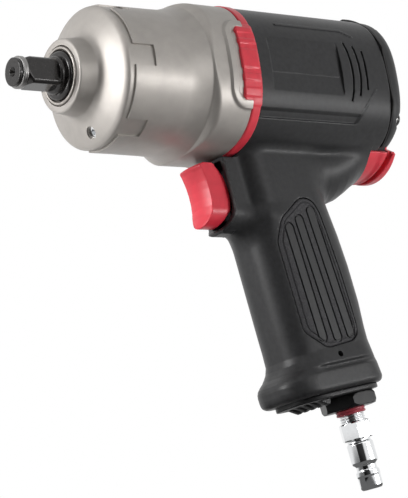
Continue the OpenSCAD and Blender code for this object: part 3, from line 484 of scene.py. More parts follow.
def repeat_tree():
    """One shape copied to every point, turned by the point's own turn, as real geometry."""
    tree, given = new_tree("repeated pieces", {"Shape": "Object", "Finish": "Material", "Size": 1.0})
    points = add(tree, "GeometryNodeMeshToPoints", {"Mesh": given["Geometry"]})
    shape = add(tree, "GeometryNodeObjectInfo", {"Object": given["Shape"]})
    turn = add(tree, "GeometryNodeInputNamedAttribute", {"Name": "turn"}, data_type="FLOAT_VECTOR")
    copy = add(tree, "GeometryNodeInstanceOnPoints", {
        "Points": points, "Instance": shape.outputs["Geometry"],
        "Rotation": turn, "Scale": given["Size"]})
    return realized(tree, given, copy)


def coil_tree():
    """Wire or thread wound round an axis, from its radius, height, turns and thickness."""
    tree, given = new_tree("wound thread", {
        "Radius": 0.01, "Height": 0.01, "Turns": 4.0, "Thickness": 0.001, "Finish": "Material"})
    spiral = add(tree, "GeometryNodeCurveSpiral", {
        "Resolution": 36, "Start Radius": given["Radius"], "End Radius": given["Radius"],
        "Height": given["Height"], "Rotations": given["Turns"]})
    edge = add(tree, "GeometryNodeCurvePrimitiveCircle", {"Resolution": 6, "Radius": given["Thickness"]})
    sweep = add(tree, "GeometryNodeCurveToMesh", {"Fill Caps": True, "Curve": spiral, "Profile Curve": edge})
    return realized(tree, given, sweep)


repeated = repeat_tree()
wound = coil_tree()


def copies(name, shape, places, finish):
    """Copies of a shape at places [(point in mm, turn in radians), ...]."""
    mesh = bpy.data.meshes.new(name + " places")
    mesh.from_pydata([[v * MM for v in p] for p, _ in places], [], [])
    turns = mesh.attributes.new("turn", "FLOAT_VECTOR", "POINT")
    turns.data.foreach_set("vector", [v for _, turn in places for v in turn])
    holder = linked(name + " places", mesh)
    made = grow(holder, repeated, {"Shape": shape, "Finish": finish}, name)
    drop(holder)
    drop(shape)
    return made


# ---------------- finishes
def material(name, colour, rough, metal=0.0, specular=0.5, mottle=0.12, patch=3.0, grain=0.3,
             relief=0.02, uneven=0.08, streak=(1, 1, 1), sheen=0.0):
    """Procedural finish: mottled colour, uneven gloss and a fine grain, all on the object's own coordinates."""
    made = bpy.data.materials.new(name)
    made.use_nodes = True
    tree = made.node_tree
    where = add(tree, "ShaderNodeTexCoord")
    place = add(tree, "ShaderNodeMapping", {"Vector": where.outputs["Object"], "Scale": streak})
    cloud = add(tree, "ShaderNodeTexNoise", {"Vector": place, "Scale": 1000 / patch, "Detail": 4})
    fine = add(tree, "ShaderNodeTexNoise", {"Vector": place, "Scale": 1000 / grain, "Detail": 3})
    tone = add(tree, "ShaderNodeValToRGB", {"Fac": cloud})
    for end, position, share in zip(tone.color_ramp.elements, (0.3, 0.7), (1 - mottle, 1 + mottle)):
        end.position = position
        end.color = (*[min(1, c * share) for c in colour], 1)
    gloss = add(tree, "ShaderNodeMapRange", {
        "Value": fine, "From Min": 0.3, "From Max": 0.7,
        "To Min": max(0.02, rough - uneven), "To Max": min(1, rough + uneven)})
    bump = add(tree, "ShaderNodeBump", {"Height": fine, "Strength": 1.0, "Distance": relief * MM})
    fill(tree, tree.nodes["Principled BSDF"], {
        "Base Color": tone, "Metallic": metal, "Roughness": gloss,
        "Specular IOR Level": specular, "Sheen Weight": sheen, "Normal": bump})
    return made


black_moulding = dict(specular=0.25, mottle=0.18, patch=2.2, grain=0.35, relief=0.016, uneven=0.07)
red_moulding = dict(specular=0.4, patch=4, grain=0.5, relief=0.008, uneven=0.05)

champagne = material("cast champagne satin", (0.40, 0.375, 0.350), 0.41, metal=0.42, specular=0.15,
                     mottle=0.05, patch=6, grain=0.35, relief=0.012, uneven=0.06)
housing_black = material("moulded black composite", (0.026, 0.026, 0.027), 0.40, **black_moulding)
cap_black = material("moulded black cap", (0.024, 0.024, 0.025), 0.45, **black_moulding)
bumper_red = material("red bumper moulding", (0.80, 0.050, 0.075), 0.36, mottle=0.06, **red_moulding)
trigger_red = material("red trigger moulding", (0.74, 0.036, 0.06), 0.34, mottle=0.05, **red_moulding)
grip_black = material("textured grip rubber", (0.045, 0.044, 0.047), 0.68, specular=0.3, mottle=0.35,
                      patch=0.7, grain=0.75, relief=0.16, uneven=0.15)
rib_black = material("smooth grip ribs", (0.026, 0.026, 0.027), 0.5, specular=0.3, patch=2, grain=0.4,
                     relief=0.01)
oxide_steel = material("black oxide steel", (0.022, 0.020, 0.019), 0.17, metal=0.35, specular=0.6, mottle=0.25,
                       patch=1.5, relief=0.005, uneven=0.07)
chrome = material("bright plating", (0.76, 0.77, 0.78), 0.08, metal=1.0, mottle=0.03, grain=0.6,
                  relief=0.002, uneven=0.04)
nut_black = material("blackened nut", (0.008, 0.008, 0.0085), 0.36, specular=0.25, mottle=0.2, patch=1.2,
                     grain=0.35, relief=0.014)
seal_red = material("red seal", (0.45, 0.045, 0.07), 0.38, mottle=0.1, patch=1.0, grain=0.4, relief=0.01)
steel = material("ground steel", (0.52, 0.51, 0.50), 0.26, metal=1.0, mottle=0.08, patch=1.5,
                 grain=0.4, relief=0.004, streak=(0.2, 1, 1))
dark_steel = material("hardened steel", (0.24, 0.235, 0.23), 0.34, metal=1.0, mottle=0.15, patch=2,
                      grain=0.4, relief=0.005)
bushing_steel = material("oiled bushing steel", (0.42, 0.39, 0.36), 0.34, metal=0.6, mottle=0.15,
                         patch=1.5, relief=0.004)
rubber = material("o-ring rubber", (0.018, 0.018, 0.018), 0.5, mottle=0.15, patch=1, relief=0.008)
brass = material("turned brass", (0.66, 0.47, 0.20), 0.28, metal=1.0, mottle=0.08, patch=1.5, relief=0.004)
phenolic = material("woven phenolic vane", (0.26, 0.11, 0.045), 0.5, mottle=0.35, patch=0.5, grain=0.35,
                    relief=0.012)
gasket = material("gasket sheet", (0.012, 0.011, 0.011), 0.8, mottle=0.3, patch=0.8)
felt = material("muffler felt", (0.26, 0.245, 0.22), 0.95, mottle=0.3, patch=0.7, grain=0.25,
                relief=0.1, sheen=0.3)

for finish, names in (
        (rubber, "anvil_o_ring throttle_o_ring"), (phenolic, "rotor_vanes"), (gasket, "rear_gasket"),
        (felt, "exhaust_muffler"), (nut_black, "inlet_bushing"), (seal_red, "inlet_seal"),
        (housing_black, "exhaust_deflector"), (bushing_steel, "nose_bushing"),
        (chrome, "grease_plug detent_ball air_plug"), (brass, "throttle_valve reverse_valve reverse_bushing"),
        (oxide_steel, "trigger_bushing case_bolts anvil"),
        (dark_steel, "friction_ring hammer_cage hammer_dogs rotor trigger_rod base_pin"),
        (steel, "hammer_pins cylinder_liner liner_dowel front_end_plate rear_end_plate front_rotor_bearing "
                "rear_rotor_bearing trigger_pin throttle_sleeve throttle_spring knob_screw detent_spring "
                "inlet_screen bolt_washers")):
    for name in names.split():
        nodes[name].data.materials.clear()
        nodes[name].data.materials.append(finish)


def settle(obj, finish, body, slot, *stands_for):
    """Gives a finished piece its material and its body, and hides the nodes that it stands for."""
    if not obj.data.materials:
        obj.data.materials.append(finish)
    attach(obj, body)
    if stands_for:
        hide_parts(*stands_for)


# ---------------- motor housing
def rear_section(x, y, z, extra=0.0):
    """Barrel of the housing and its cap, rounded over at the back."""
    a = body_section(y, z, extra) + rear_round
    b = x - cap_x + rear_round
    return from_axis(meet(a, 0), meet(b, 0)) + join(meet(a, b), 0) - rear_round


tail_start = 148
tail_end = 187.5
tail_stations = [146, 155, 164, 169.5, 175, 179.6, 184.2, 189.5, 196]
tail_bottom = [-53.5, -57.2, -57.3, -56.2, -54.2, -51.5, -48.4, -45.5, -44.1]
tail_radius = [14.5, 16.5, 17.2, 17.9, 19.0, 20.2, 21.4, 22.3, 22.4]


def tail(x, y, z):
    """Boss behind the handle that carries the reverse knob."""
    r = np.interp(x, tail_stations, tail_radius)
    middle = np.interp(x, tail_stations, tail_bottom) + r
    return shared(from_axis(y, z - middle) - r, tail_start - x, 6)


block_side = [(handle_x, -30), (housing_x, -30), (housing_x, block_roof), (102.3, block_roof), (103.2, -43.6),
              (104.2, -51), (104.9, -56), (105.3, -60), (105.2, -63), (104.5, -66), (103.2, -68.6), (101.6, -70.6),
              (100.4, -71.6), (99.9, -72.4), (100.6, block_chin), (handle_x, block_chin)]


def trigger_block(x, y, z):
    """Block in front of the handle, wider towards the handle, with a thin raised lip round the trigger."""
    wide = block_half + 3.7 * step(115, 122, x)
    section = tongue(y * block_half / wide, z, block_half, block_chin)
    side = outline(x, z, block_side) - 0.3
    body = shared(side, section, 1.2)
    lip = meet(abs(side + 0.9) - 0.5, x - 107, z + 40.5)
    return both(body, meet(lip, section - 0.35), 0.4)


back_stations = [30, 65, 80, 95, 113, 122, 131, 139, 143.4, 149.3, 152.5]
back_reach = [22.0, 23.6, 25.4, 26.4, 26.5, 25.8, 25.2, 25.2, 25.7, 26.4, 26.0]
front_stations = [30, 119, 132.7, 135.8, 137.6, 139.5, 141.1, 142.7, 144.2, 145.7, 148.5, 150.9, 152.5]
front_reach = [26.8, 26.9, 26.7, 27.6, 28.8, 30.4, 32.4, 34.0, 34.8, 35.1, 35.0, 34.5, 33.6]
width_stations = [30, 126, 132, 138, 143, 153]
half_widths = [17.6, 17.6, 17.9, 18.9, 19.5, 19.5]
neck_s = 141.0


def handle(x, y, z):
    """Handle with its swelling back, its flared base and the neck groove."""
    s, t = in_handle(x, z)
    back = np.interp(s, back_stations, back_reach)
    front = np.interp(s, front_stations, front_reach)
    half = np.interp(s, width_stations, half_widths)
    body = rounded_box(t - (back - front) / 2, y, (back + front) / 2, half, handle_edge_r)
    depth = step(-26, -12, t) * step(24, 12, t)
    body = body + depth * step(2.0, 0.4, abs(s - neck_s))
    return shared(body, between(s, 20, base_end), 3.0)


# in the side view: middle x and z, half sizes and the corners' radius
panel_box = (140.6, 0.4, 21.6, 13.2, 1.2)
panel_field = (140.2, 4.9, 20.6, 8.7, 0.6)
panel_depth = 1.3
# each slot's middle x, its bow to the rear, and its lower and upper z
side_slots = ((168.9, 2.1, -15.3, 14.6), (173.7, 1.6, -12.5, 13.2), (177.7, 0.5, -9.2, 11.0))
channel_depth = 1.1
ridge_ends = ((128, 21.6), (168, 21.6), (174, 18.6))
mark_r = 0.55


def slot_arc(x, z, middle, bow, z0, z1):
    """Curved slot in the side, bowed to the rear."""
    mid_z, half = (z0 + z1) / 2, (z1 - z0) / 2
    t = (z - mid_z) / half
    return meet(abs(x - middle + bow * t * t) - mark_r, abs(z - mid_z) - half)


def side_marks(x, y, z, body):
    """Panels, slots and grooves moulded in the two sides."""
    side = abs(y)
    body = less(body, meet(side_box(x, z, panel_box), side_half - panel_depth - side), 0.25)
    body = both(body, meet(side_box(x, z, panel_field), side - side_half + 0.85, 33 - side))
    for slot in side_slots:
        body = less(body, meet(slot_arc(x, z, *slot), -body - 1.6), 0.25)
    body = body + channel_depth * (step(2.3, 1.2, abs(z + 23.0)) * step(173.5, 170.5, x + (z + 23.2) * -0.6))
    ridge = join(*[strip(x, z, a, b, mark_r) for a, b in zip(ridge_ends, ridge_ends[1:])])
    body = both(body, meet(ridge, body - 0.35), 0.5)
    fold = strip(x, z, (182.2, -9), (172.9, -21), 0.5)
    return both(body, meet(fold, body - 0.15), 0.3)


def knob_channel(x, y, z):
    """Half-round channel that the knob's skirt turns in."""
    r = from_axis(y, z - knob_z)
    return meet(r - knob_r - 0.5, hub_r + 0.1 - r, 187.4 - x, z - knob_z - 0.5)


def housing_voids(x, y, z):
    """Bores, passages and pockets inside the housing."""
    s, t = in_handle(x, z)
    r = from_axis(y, z)

    def holes():
        yield meet(r - chamber_r, x - 176)
        yield meet(r - 31.4, x - 115.2)
        yield meet(r - 24, x - 181)
        yield rod(x, y, z - knob_z, 180, 260, 8.25)
        for a in bolt_angles:
            yield bolt_axis(y, z, a) - bolt_hole_r
        yield rod(s, t - inlet_t, y, 56, 300, 7)
        yield rod(s, t - inlet_t, y, base_end - 21, 300, 11.1)
        yield rod(x, y, z - trigger_z, 113.3, 123.3, 6)
        yield rod(x, y, z - trigger_z, 122.3, 156.3, 7.5)
        yield meet(rounded_box(t - exhaust_t, y, 5.5, 12, 5), 28 - s)
        yield meet(rounded_box(t - mouth_t, y, 10.5, 13.5, 8), base_end - 9 - s)
        yield meet(tongue(y, z, trigger_half + 0.5, -70.9), x - 113.3, z + 39.5)
        yield knob_channel(x, y, z)
        yield from_axis(s - 136.1, t + 2.9) - 1.45

    return reduce(np.minimum, holes())


pad_corners = [(80, -11.2), (73.5, -8.6), (67.8, 1.4), (69.6, 2.0), (79, 3.0), (99, 4.5), (123.5, 5.2),
               (124.2, -6.4), (119.6, -11.0)]


def grip_outline(s, t):
    """Outline of a grip pad in the side of the handle."""
    return outline(s, t, pad_corners) - 8.0


def grip_shell(s, t, y):
    """Distance to the handle's outer surface where the grip pads lie."""
    back = np.interp(s, back_stations, back_reach)
    return rounded_box(t - (back - handle_front) / 2, y, (back + handle_front) / 2, handle_half_w, handle_edge_r)


def motor_housing(x, y, z):
    """Barrel, tail, trigger block and handle in one moulding."""
    barrel = side_marks(x, y, z, meet(rear_section(x, y, z), housing_x - x))
    low = z < -24
    lower = np.full_like(x, 60.0)
    xs, ys, zs = x[low], y[low], z[low]
    if xs.size:
        front = trigger_block(xs, ys, zs)
        grip = handle(xs, ys, zs)
        low_down = step(-60, -70, zs)
        part = both(front, grip, 2.5) * (1 - low_down) + both(front, grip, 9) * low_down
        lower[low] = both(part, tail(xs, ys, zs), 6)
    room = meet(x - housing_x, block_roof - z)
    body = meet(both(barrel, lower, 3.5), -room)
    body = meet(body, join(barrel, x - tail_end))
    body = shared(body, joint_plane(x, z), 1.4)
    if xs.size:
        s, t = in_handle(xs, zs)
        seat = meet(grip_outline(s, t), -grip_shell(s, t, ys) - 2.0)
        body[low] = less(body[low], seat, 0.35)
    return meet(body, -housing_voids(x, y, z))


def split_housing(low, high, cell, height):
    """Housing's skin as two closed pieces that meet without a seam."""
    vertices, faces, normals = skin(motor_housing, low, high, cell * FINE)
    level = vertices[faces][:, :, 2].mean(1)
    for name, mask, node in (("housing_barrel", level >= height, "motor_housing"),
                             ("housing_handle", level < height, "handle_housing")):
        used, index = np.unique(faces[mask], return_inverse=True)
        obj = plain_mesh(name, vertices[used], index.reshape(-1, 4))
        with edited(obj.data) as bm:
            rim = [e for e in bm.edges if e.is_boundary]
            bmesh.ops.triangle_fill(bm, edges=rim, use_beauty=True, use_dissolve=False)
        obj.data.shade_smooth()
        soften(obj, normals[used])
        settle(obj, housing_black, "housing", "housing_plastic", node)


split_housing((85, -38.2, -160), (203.6, 38.2, 37.6), 0.66, -36.6)


# ---------------- grip pads
rib_lines = [((73.2, -11.4), (126.6, -10.0)), ((70.2, -4.1), (127.8, -1.1)), ((66.8, 4.4), (127.6, 7.5))]
rib_half = 2.15


def ribs(s, t):
    """Distance to the long smooth ribs of a grip pad."""
    return join(*[strip(s, t, a, b, rib_half) for a, b in rib_lines])


def grip_pad(side):
    """One soft pad let into a side of the handle."""
    def form(x, y, z):
        s, t = in_handle(x, z)
        shell = grip_shell(s, t, y) - 0.25
        edge = grip_outline(s, t) + 0.35
        pad = shared(shell, edge, 1.0)
        pad = less(pad, meet(abs(ribs(s, t) - 0.35) - 0.38, -shell - 0.75), 0.25)
        pad = less(pad, meet(abs(edge + 1.9) - 0.3, -shell - 0.45), 0.3)
        return meet(pad, -shell - 2.2, -side * y)
    return form


for side, name in ((-1, "grip_pad_near"), (1, "grip_pad_far")):
    span = sorted((side * 11.5, side * 18.4))
    pad = moulded(name, grip_pad(side), (122, span[0], -134), (163, span[1], -56), 0.42)
    pad.data.materials.append(grip_black)
    pad.data.materials.append(rib_black)
    centres = np.empty(len(pad.data.polygons) * 3)
    pad.data.polygons.foreach_get("center", centres)
    centres = centres.reshape(-1, 3) / MM
    s, t = in_handle(centres[:, 0], centres[:, 2])
    pad.data.polygons.foreach_set("material_index", (ribs(s, t) < 0.1).astype(int))
    settle(pad, grip_black, "housing", "grip_rubber", "grip_pads")


# ---------------- rear cap, knob and bolts
def rear_cap(x, y, z):
    """Leaning cover at the back."""
    r = from_axis(y, z - knob_z)
    shell = shared(rear_section(x, y, z, -0.15), -32.5 - z, 1.2)
    body = both(shell, meet(r - hub_r, x - cap_x))
    body = shared(body, 0.8 - joint_plane(x, z), 0.8)
    room = meet(from_axis(y, z - 12) - 18, x - cap_x + 4)
    ball = meet(from_axis(y, z - knob_z - track_r) - 1.55, 196.5 - x)
    body = meet(body, -room, -knob_channel(x, y, z), 6.1 - r, -ball)
    pockets = join(*[join(meet(bolt_axis(y, z, a) - 4.3, bolt_seat_x - x), bolt_axis(y, z, a) - bolt_hole_r)
                     for a in bolt_angles])
    return less(body, pockets, 0.4)


settle(moulded("rear_cap_cover", rear_cap, (188, -38, -40.2), (203.4, 38, 37.4), 0.55),
       cap_black, "housing", "housing_plastic", "rear_cap")

knob_half_angle = radians(57)
rim_x = (200.6, 206.4)
groove_lean = 0.31


def reverse_knob(x, y, z):
    """Reverse knob: skirt, round groove and the thick rim that the thumb pushes."""
    v = z - knob_z
    r = from_axis(y, v)
    wedge = meet(v * sin(knob_half_angle) + abs(y) * cos(knob_half_angle), v)
    skirt_r = knob_r - 0.75 * step(198, 195, x)
    skirt = shared(meet(r - skirt_r, knob_r - 3.6 - r, between(x, 188.0, 203.3)), wedge, 0.8)
    plate = meet(r - (knob_r - 1.8), between(x, 203.2, 206.2), join(wedge, r - 14.5))
    rim = shared(shared(r - knob_r, between(x, *rim_x), 2.0), v + 12.0, 0.8)
    groove = meet(abs(x - 199.5 - groove_lean * (z + 43)) - 1.6, knob_r - 3.2 - r)
    body = less(join(skirt, plate, rim), groove, 1.0)
    return meet(body, 1.5 - from_axis(r - track_r, x - 202.6), 2.05 - r)


settle(moulded("reverse_knob_skin", reverse_knob, (187.6, -22.6, -44.3), (207.9, 22.6, -7.0), 0.42),
       bumper_red, "reverse_set", "red_plastic", "reverse_knob")

shank_r = 2.0
shank_end = -102.0
shank_join = -6.0


def bolt_form(x, y, z):
    """Front of a socket-head bolt along x, with its hexagon recess."""
    r = from_axis(y, z)
    head = shared(r - 3.5, between(x, 0.8, 2.9), 0.5)
    shank = meet(r - shank_r, between(x, shank_end, 1))
    return meet(join(head, shank), -meet(hexagon(y, z, 1.95), 1.5 - x), shank_join - x)


head_part = moulded("bolt head", bolt_form, (-6.4, -3.6, -3.6), (4.1, 3.6, 3.6), 0.3)
shank_part = turned("bolt shank", [(shank_end, 0.01), (shank_end, 1.6), (shank_end + 0.5, shank_r),
                                   (shank_join + 0.1, shank_r), (shank_join + 0.1, 0.01)], 20)
with edited(head_part.data) as bm:
    bm.from_mesh(shank_part.data)
head_part.data.set_sharp_from_angle(angle=radians(35))
drop(shank_part)
places = [((bolt_seat_x, bolt_r * cos(a), bolt_r * sin(a)), (a, 0, 0)) for a in bolt_angles]
bolts = copies("case_bolt_set", head_part, places, oxide_steel)
settle(bolts, oxide_steel, "housing", "dark_steel", "case_bolts")


# ---------------- hammer case
pocket_count = 6
pocket_half_angle = 8.55  # degrees
pocket_x = (43.46, 54.65)
pocket_r = 33.0
flare_x = 74.0
crease_x = 84.8
bead_box = (132.6, -0.8, 37.0, 19.3, 7.0)
bead_height = 1.2
case_wall_r = 31.3
case_bore_r = 30.0
nose_bore_r = 13.95


def flare_radius(x):
    """Slow rise from the barrel, a crease, then a steep rise to the lobes."""
    slow = 34.3 + 2.4 * np.clip((x - flare_x) / 11.2, 0, 1) ** 1.7
    u = np.clip((x - crease_x) / 8, 0, 1)
    return slow + 4.9 * (1 - (1 - u) ** 2)


def case_radius(x, r, a):
    """Radius of the case at a station and an angle: its pockets, lobes and side beads."""
    y, z = np.cos(a), np.sin(a)
    limit = 1 / ((abs(y) / side_half) ** corner_power + (abs(z) / top_half) ** corner_power) ** (1 / corner_power)
    wide = np.where(x > flare_x, both(r, limit + 0 * r, 0.7), r)
    pitch = 360 / pocket_count
    turn = (np.degrees(a) + pitch / 2) % pitch - pitch / 2
    wide = np.where((abs(turn) < pocket_half_angle) & (x > pocket_x[0]) & (x < pocket_x[1]), pocket_r, wide)
    z = wide * z
    edge = side_box(x, z, bead_box)
    on_side = (abs(z) < 25) & (x > 86)
    wide = wide + np.where(on_side, bead_height * step(2.6, 1.4, abs(edge)), 0)
    wide = wide - np.where((edge < -2.0) & on_side, 0.5, 0)
    return np.where((r > 28.0) & (x < ring_x + 0.01), wide, r)


# profiles are given as [(station, radius), ...]
nose_profile = [(0, nose_bore_r), (0, 16.2), (0.12, 16.7), (0.45, 17.0), (0.9, 17.12), (3, 17.35), (6, 17.7),
                (8, 18.0), (8.7, 18.15), (9.2, 18.45), (9.7, 18.9), (10.2, 19.5), (10.7, 20.4), (11.2, 21.7),
                (11.8, 23.7), (12.4, 25.8), (13, 27.6), (13.6, 29.2), (14.1, 30.6), (14.5, 31.5), (14.8, 32.0),
                (15.15, 32.5), (15.55, 32.9), (16, 33.1)]
case_profile = [(nose_x + x, r) for x, r in nose_profile]
case_profile += [(41.3, 33.15), (42.4, 33.0), (43.3, 33.0), (43.45, 33.0), (43.5, 33.75), (43.7, 33.95), (45, 34),
                 (49, 34), (53, 34), (54.5, 34.0), (54.62, 34.0), (54.68, 34.0), (54.8, 34.0), (58, 34.05),
                 (62, 34.1), (66, 34.15), (70, 34.2), (73.5, 34.3)]
case_profile += [(x, float(flare_radius(x))) for x in np.arange(flare_x, ring_x + 0.01, 0.36)]
case_profile += [(ring_x - 0.05, 32.0), (ring_x, case_wall_r), (112.0, case_wall_r), (112.0, case_bore_r),
                 (90, case_bore_r), (60, case_bore_r), (47.2, case_bore_r), (42.2, nose_bore_r), (34, nose_bore_r)]
pocket_edges = [c + s * (pocket_half_angle + e) for c in range(0, 360, 360 // pocket_count)
                for s in (-1, 1) for e in (-0.05, 0.05)]
case_angles = np.radians(sorted(set(list(np.arange(0, 360, 1.0)) + pocket_edges)))
case = turned("hammer_case_skin", case_profile, case_angles, shape=case_radius)
port = Vector((37.9, 0, -26.4))
port_axis = Vector((0.938, 0, 0.347))
port_r = 2.75
port_rim_r = 3.1
bore(case, port - 4 * port_axis, port + 7 * port_axis, port_r)
bore(case, port - 4 * port_axis, port + 0.45 * port_axis, port_rim_r)
settle(case, champagne, "housing", "cast_case", "hammer_case")


# ---------------- bumper ring
zone_box = (107.4, -1.1, 6.2, 19.6, 4.0)
pad_heights = [(13.9, 17.7), (8.1, 11.2), (-3.9, 5.8), (-10.0, -6.2), (-17.4, -12.6)]


def case_ring(x, y, z):
    """Red ring with a ribbed wide zone on each side."""
    r = from_axis(y, z)
    side = abs(y)
    ring = shared(body_section(y, z, 0.45), abs(x - 108.6) - 2.55, 1.0)
    zone = shared(side_box(x, z, zone_box), body_section(y, z, 0.55), 0.6)
    body = both(ring, meet(zone, 33.4 - side, x - 111.1), 0.8)
    for z0, z1 in pad_heights:
        tall = side_box(x, z, (105.8, (z0 + z1) / 2, 5.0, (z1 - z0) / 2, 0.9))
        body = both(body, meet(shared(tall, body_section(y, z, 1.0), 1.1), 34 - side), 0.35)
    for a in bolt_angles:
        body = meet(body, bolt_hole_r + 0.05 - bolt_axis(y, z, a))
    return meet(body, 31.5 - r, x - 111.15)


settle(moulded("bumper_ring", case_ring, (99.4, -39.7, -38), (111.4, 39.7, 38), 0.46),
       bumper_red, "housing", "red_plastic", "case_ring")


# ---------------- trigger
trigger_side = [(99.6, -41.3), (98.2, -40.6), (92.6, -40.5), (90.9, -41.2), (90.8, -42.0), (91.5, -43.4),
                (92.4, -46), (93.3, -49), (94.0, -52.5), (94.5, -57), (94.4, -61), (93.7, -65), (92.6, -69),
                (92.4, -71), (98.6, -71), (100.6, -70.0), (102.6, -67.3), (104.1, -63.6), (104.7, -59.5),
                (104.6, -56), (104.0, -51.5), (102.2, -45.8)]
trigger_rear = [(97, -42), (101.2, -43), (104.4, -48), (105.7, -53), (105.9, -58), (105.0, -63), (102.3, -67),
                (97, -69)]
crown = 1.2


def trigger(x, y, z):
    """Trigger with its lightly crowned, hollowed front."""
    crowned = x - crown * (y / trigger_half) ** 2 * step(99, 94, x) + crown
    front = shared(outline(crowned, z, trigger_side) - 0.2, tongue(y, z, trigger_half, -70.4), 0.5)
    rear = shared(outline(x, z, trigger_rear) - 0.3, tongue(y, z, 7.2, -69.0), 1.0)
    pin = meet(from_axis(x - 98.3, y) - 1.3, abs(z - trigger_z) - 8)
    return meet(join(front, rear), -rod(x, y, z - trigger_z, 96.3, 120, 2.55), -pin)


settle(moulded("trigger_skin", trigger, (88.2, -8.5, -70.8), (106.4, 8.5, -40.1), 0.36, crease=30),
       trigger_red, "trigger_set", "red_plastic", "trigger")


# ---------------- square drive
square_half = 6.35
square_corner_r = 8.1
shoulder_r = 8.8
journal_r = 11.35
jaw_r = 14.5
jaw_starts = (54.5, 71.0)
jaw_length = 15.5


def anvil(x, y, z):
    """Square drive, shoulder, journal and the jaws behind them."""
    r = from_axis(y, z)
    square = shared(meet(abs(y), abs(z)) - square_half, r - square_corner_r, 0.4)
    square = shared(square, meet(4.75 - x, (r - 6.5 - (x - 5.0) * 0.9) * 0.74, x - 21), 0.4)
    tip = shared(r - 6.55, between(x, 0, 1.75), 0.45)
    square = join(square, tip, meet(r - 6.0, between(x, 0.5, 6)))
    square = meet(square, -meet(r - (2.3 - x * 0.8), x - 2.2))
    shoulder = shared(r - shoulder_r, between(x, 20.3, 24), 1.8)
    journal = shared(r - journal_r, between(x, 23.1, 48.5), 1.8)
    journal = meet(journal, -meet(abs(x - 38.1) - 1.0, 10.15 - r))
    body = join(square, shoulder, journal, meet(r - 9.5, between(x, 48, 86.6)), meet(r - 7, between(x, 86, 94.4)))
    for start, side in zip(jaw_starts, (1, -1)):
        body = join(body, meet(r - jaw_r, abs(z) - 6.5, between(x, start, start + jaw_length), -side * y))
    return body


ring_profile = [(1.8, 6.1), (1.8, 6.9), (1.95, 7.2), (2.25, 7.42), (2.6, 7.45), (2.95, 7.3), (3.15, 7.25),
                (3.35, 7.3), (3.7, 7.45), (4.05, 7.42), (4.3, 7.2), (4.45, 6.9), (4.45, 6.1)]
settle(turned("friction_ring_wire", ring_profile, 72), dark_steel, "anvil_set", "steel", "friction_ring")
bush_profile = [(26.5, 12.1), (24.6, 12.1), (24.35, 12.25), (24.25, 12.5), (24.3, 12.95), (24.45, 13.2),
                (24.75, 13.35), (26.6, 13.4), (27, 13.8), (44.5, 13.8), (44.5, 11.5), (27, 11.5)]
settle(turned("nose_bush", bush_profile), bushing_steel, "housing", "steel", "nose_bushing")
settle(moulded("anvil_drive", anvil, (-0.2, -14.7, -14.7), (94.8, 14.7, 14.7), 0.45),
       oxide_steel, "anvil_set", "black_steel", "anvil")


# ---------------- air inlet
nut_half = 12.3
nut_corner_r = 15.9
neck_r = 10.9
nut_middle = 158
nut_end = 161.2
nut_bore_r = 6.05


def nut(x, y, z):
    """Hexagon of the inlet bushing with its neck."""
    s, t = in_handle(x, z)
    u = t - inlet_t
    r = from_axis(u, y)
    flats = shared(hexagon(y, u, nut_half), between(s, plate_end + 0.1, nut_end), 0.4)
    for way in (1, -1):
        flats = shared(flats, (r - nut_corner_r + way * (s - nut_middle)) * 0.7071, 0.2)
    neck = meet(r - neck_r, between(s, 132.5, 156))
    lock = meet(abs(s - 135.9) - 1.6, 9.2 - r)
    return meet(join(flats, neck), -lock, nut_bore_r - r - 1.0 * (s < 149.2))


settle(moulded("inlet_nut", nut, (140, -13.5, -164), (180, 13.5, -127), 0.42),
       nut_black, "housing", "black_nut", "inlet_bushing")

seal_profile = [(161.25, nut_bore_r), (161.25, 6.9), (161.6, 7.2), (162.1, 7.15), (162.35, 6.85), (162.6, 6.8),
                (162.85, 7.15), (163.3, 7.2), (163.7, 6.9), (163.85, nut_bore_r)]
settle(turned("inlet_seal_ring", seal_profile, 64, down_handle), seal_red, "housing", "seal_red", "inlet_seal")

plug_turn = 5  # degrees
plug_half = 7.0
plug_profile = [(150.2, 3.0), (150.2, 5.2), (151.2, 5.8), (163.9, 5.8), (167.3, 5.8), (167.55, 5.95), (167.6, 6.9),
                (168.3, 8.2), (175.5, 8.2), (176.15, 6.9), (176.2, 5.7), (177.0, 5.6), (177.4, 5.75), (178.0, 6.3),
                (178.3, 6.4), (186.8, 6.4), (187.6, 6.1), (188.2, 5.3), (188.8, 4.9), (190.6, 4.9), (191.1, 5.2),
                (191.5, 5.7), (193.4, 5.75), (193.9, 5.6), (194.2, 5.55), (198.8, 5.5), (199.8, 5.0), (200.2, 4.4),
                (200.3, 3.4), (200.0, 3.0)]
plug_angles = np.radians(np.sort(np.concatenate([np.arange(0, 360, 4.0) + 1.0,
                                                 np.arange(0, 360, 60) + plug_turn + 30.0])))


def plug_hexagon(along, radius, a):
    """Radius of the plug's hexagon, trimmed by the chamfer's radius."""
    turn = (a - radians(plug_turn) + pi / 6) % (pi / 3) - pi / 6
    flat = plug_half / np.cos(turn)
    return np.where((along > 167.5) & (along < 176.3) & (radius > 5.9), np.minimum(flat, radius), radius)


settle(turned("air_plug_body", held(plug_profile), plug_angles, down_handle, plug_hexagon),
       chrome, "housing", "plug_plate", "air_plug")

holder = plain_mesh("thread axis", [(0, 0, 0)], [])
thread = grow(holder, wound, {"Radius": 5.75 * MM, "Height": 3.4 * MM, "Turns": 2.6, "Thickness": 0.42 * MM,
                              "Finish": chrome}, "plug_thread")
drop(holder)
end_x, end_z = from_handle(167.4, inlet_t)
thread.data.transform(Matrix.Translation((end_x * MM, 0, end_z * MM)) @ Matrix.Rotation(-handle_rake, 4, "Y"))
settle(thread, chrome, "housing", "plug_plate")


# ---------------- exhaust deflector
hood_side = [(151.5, -25), (157.5, -12.7), (157.0, -10.9), (151.5, -10.0)]
fin_pitch = 5.2
fin_half = 1.3
hood_half = 11.9
inlet_hole_r = 11.2


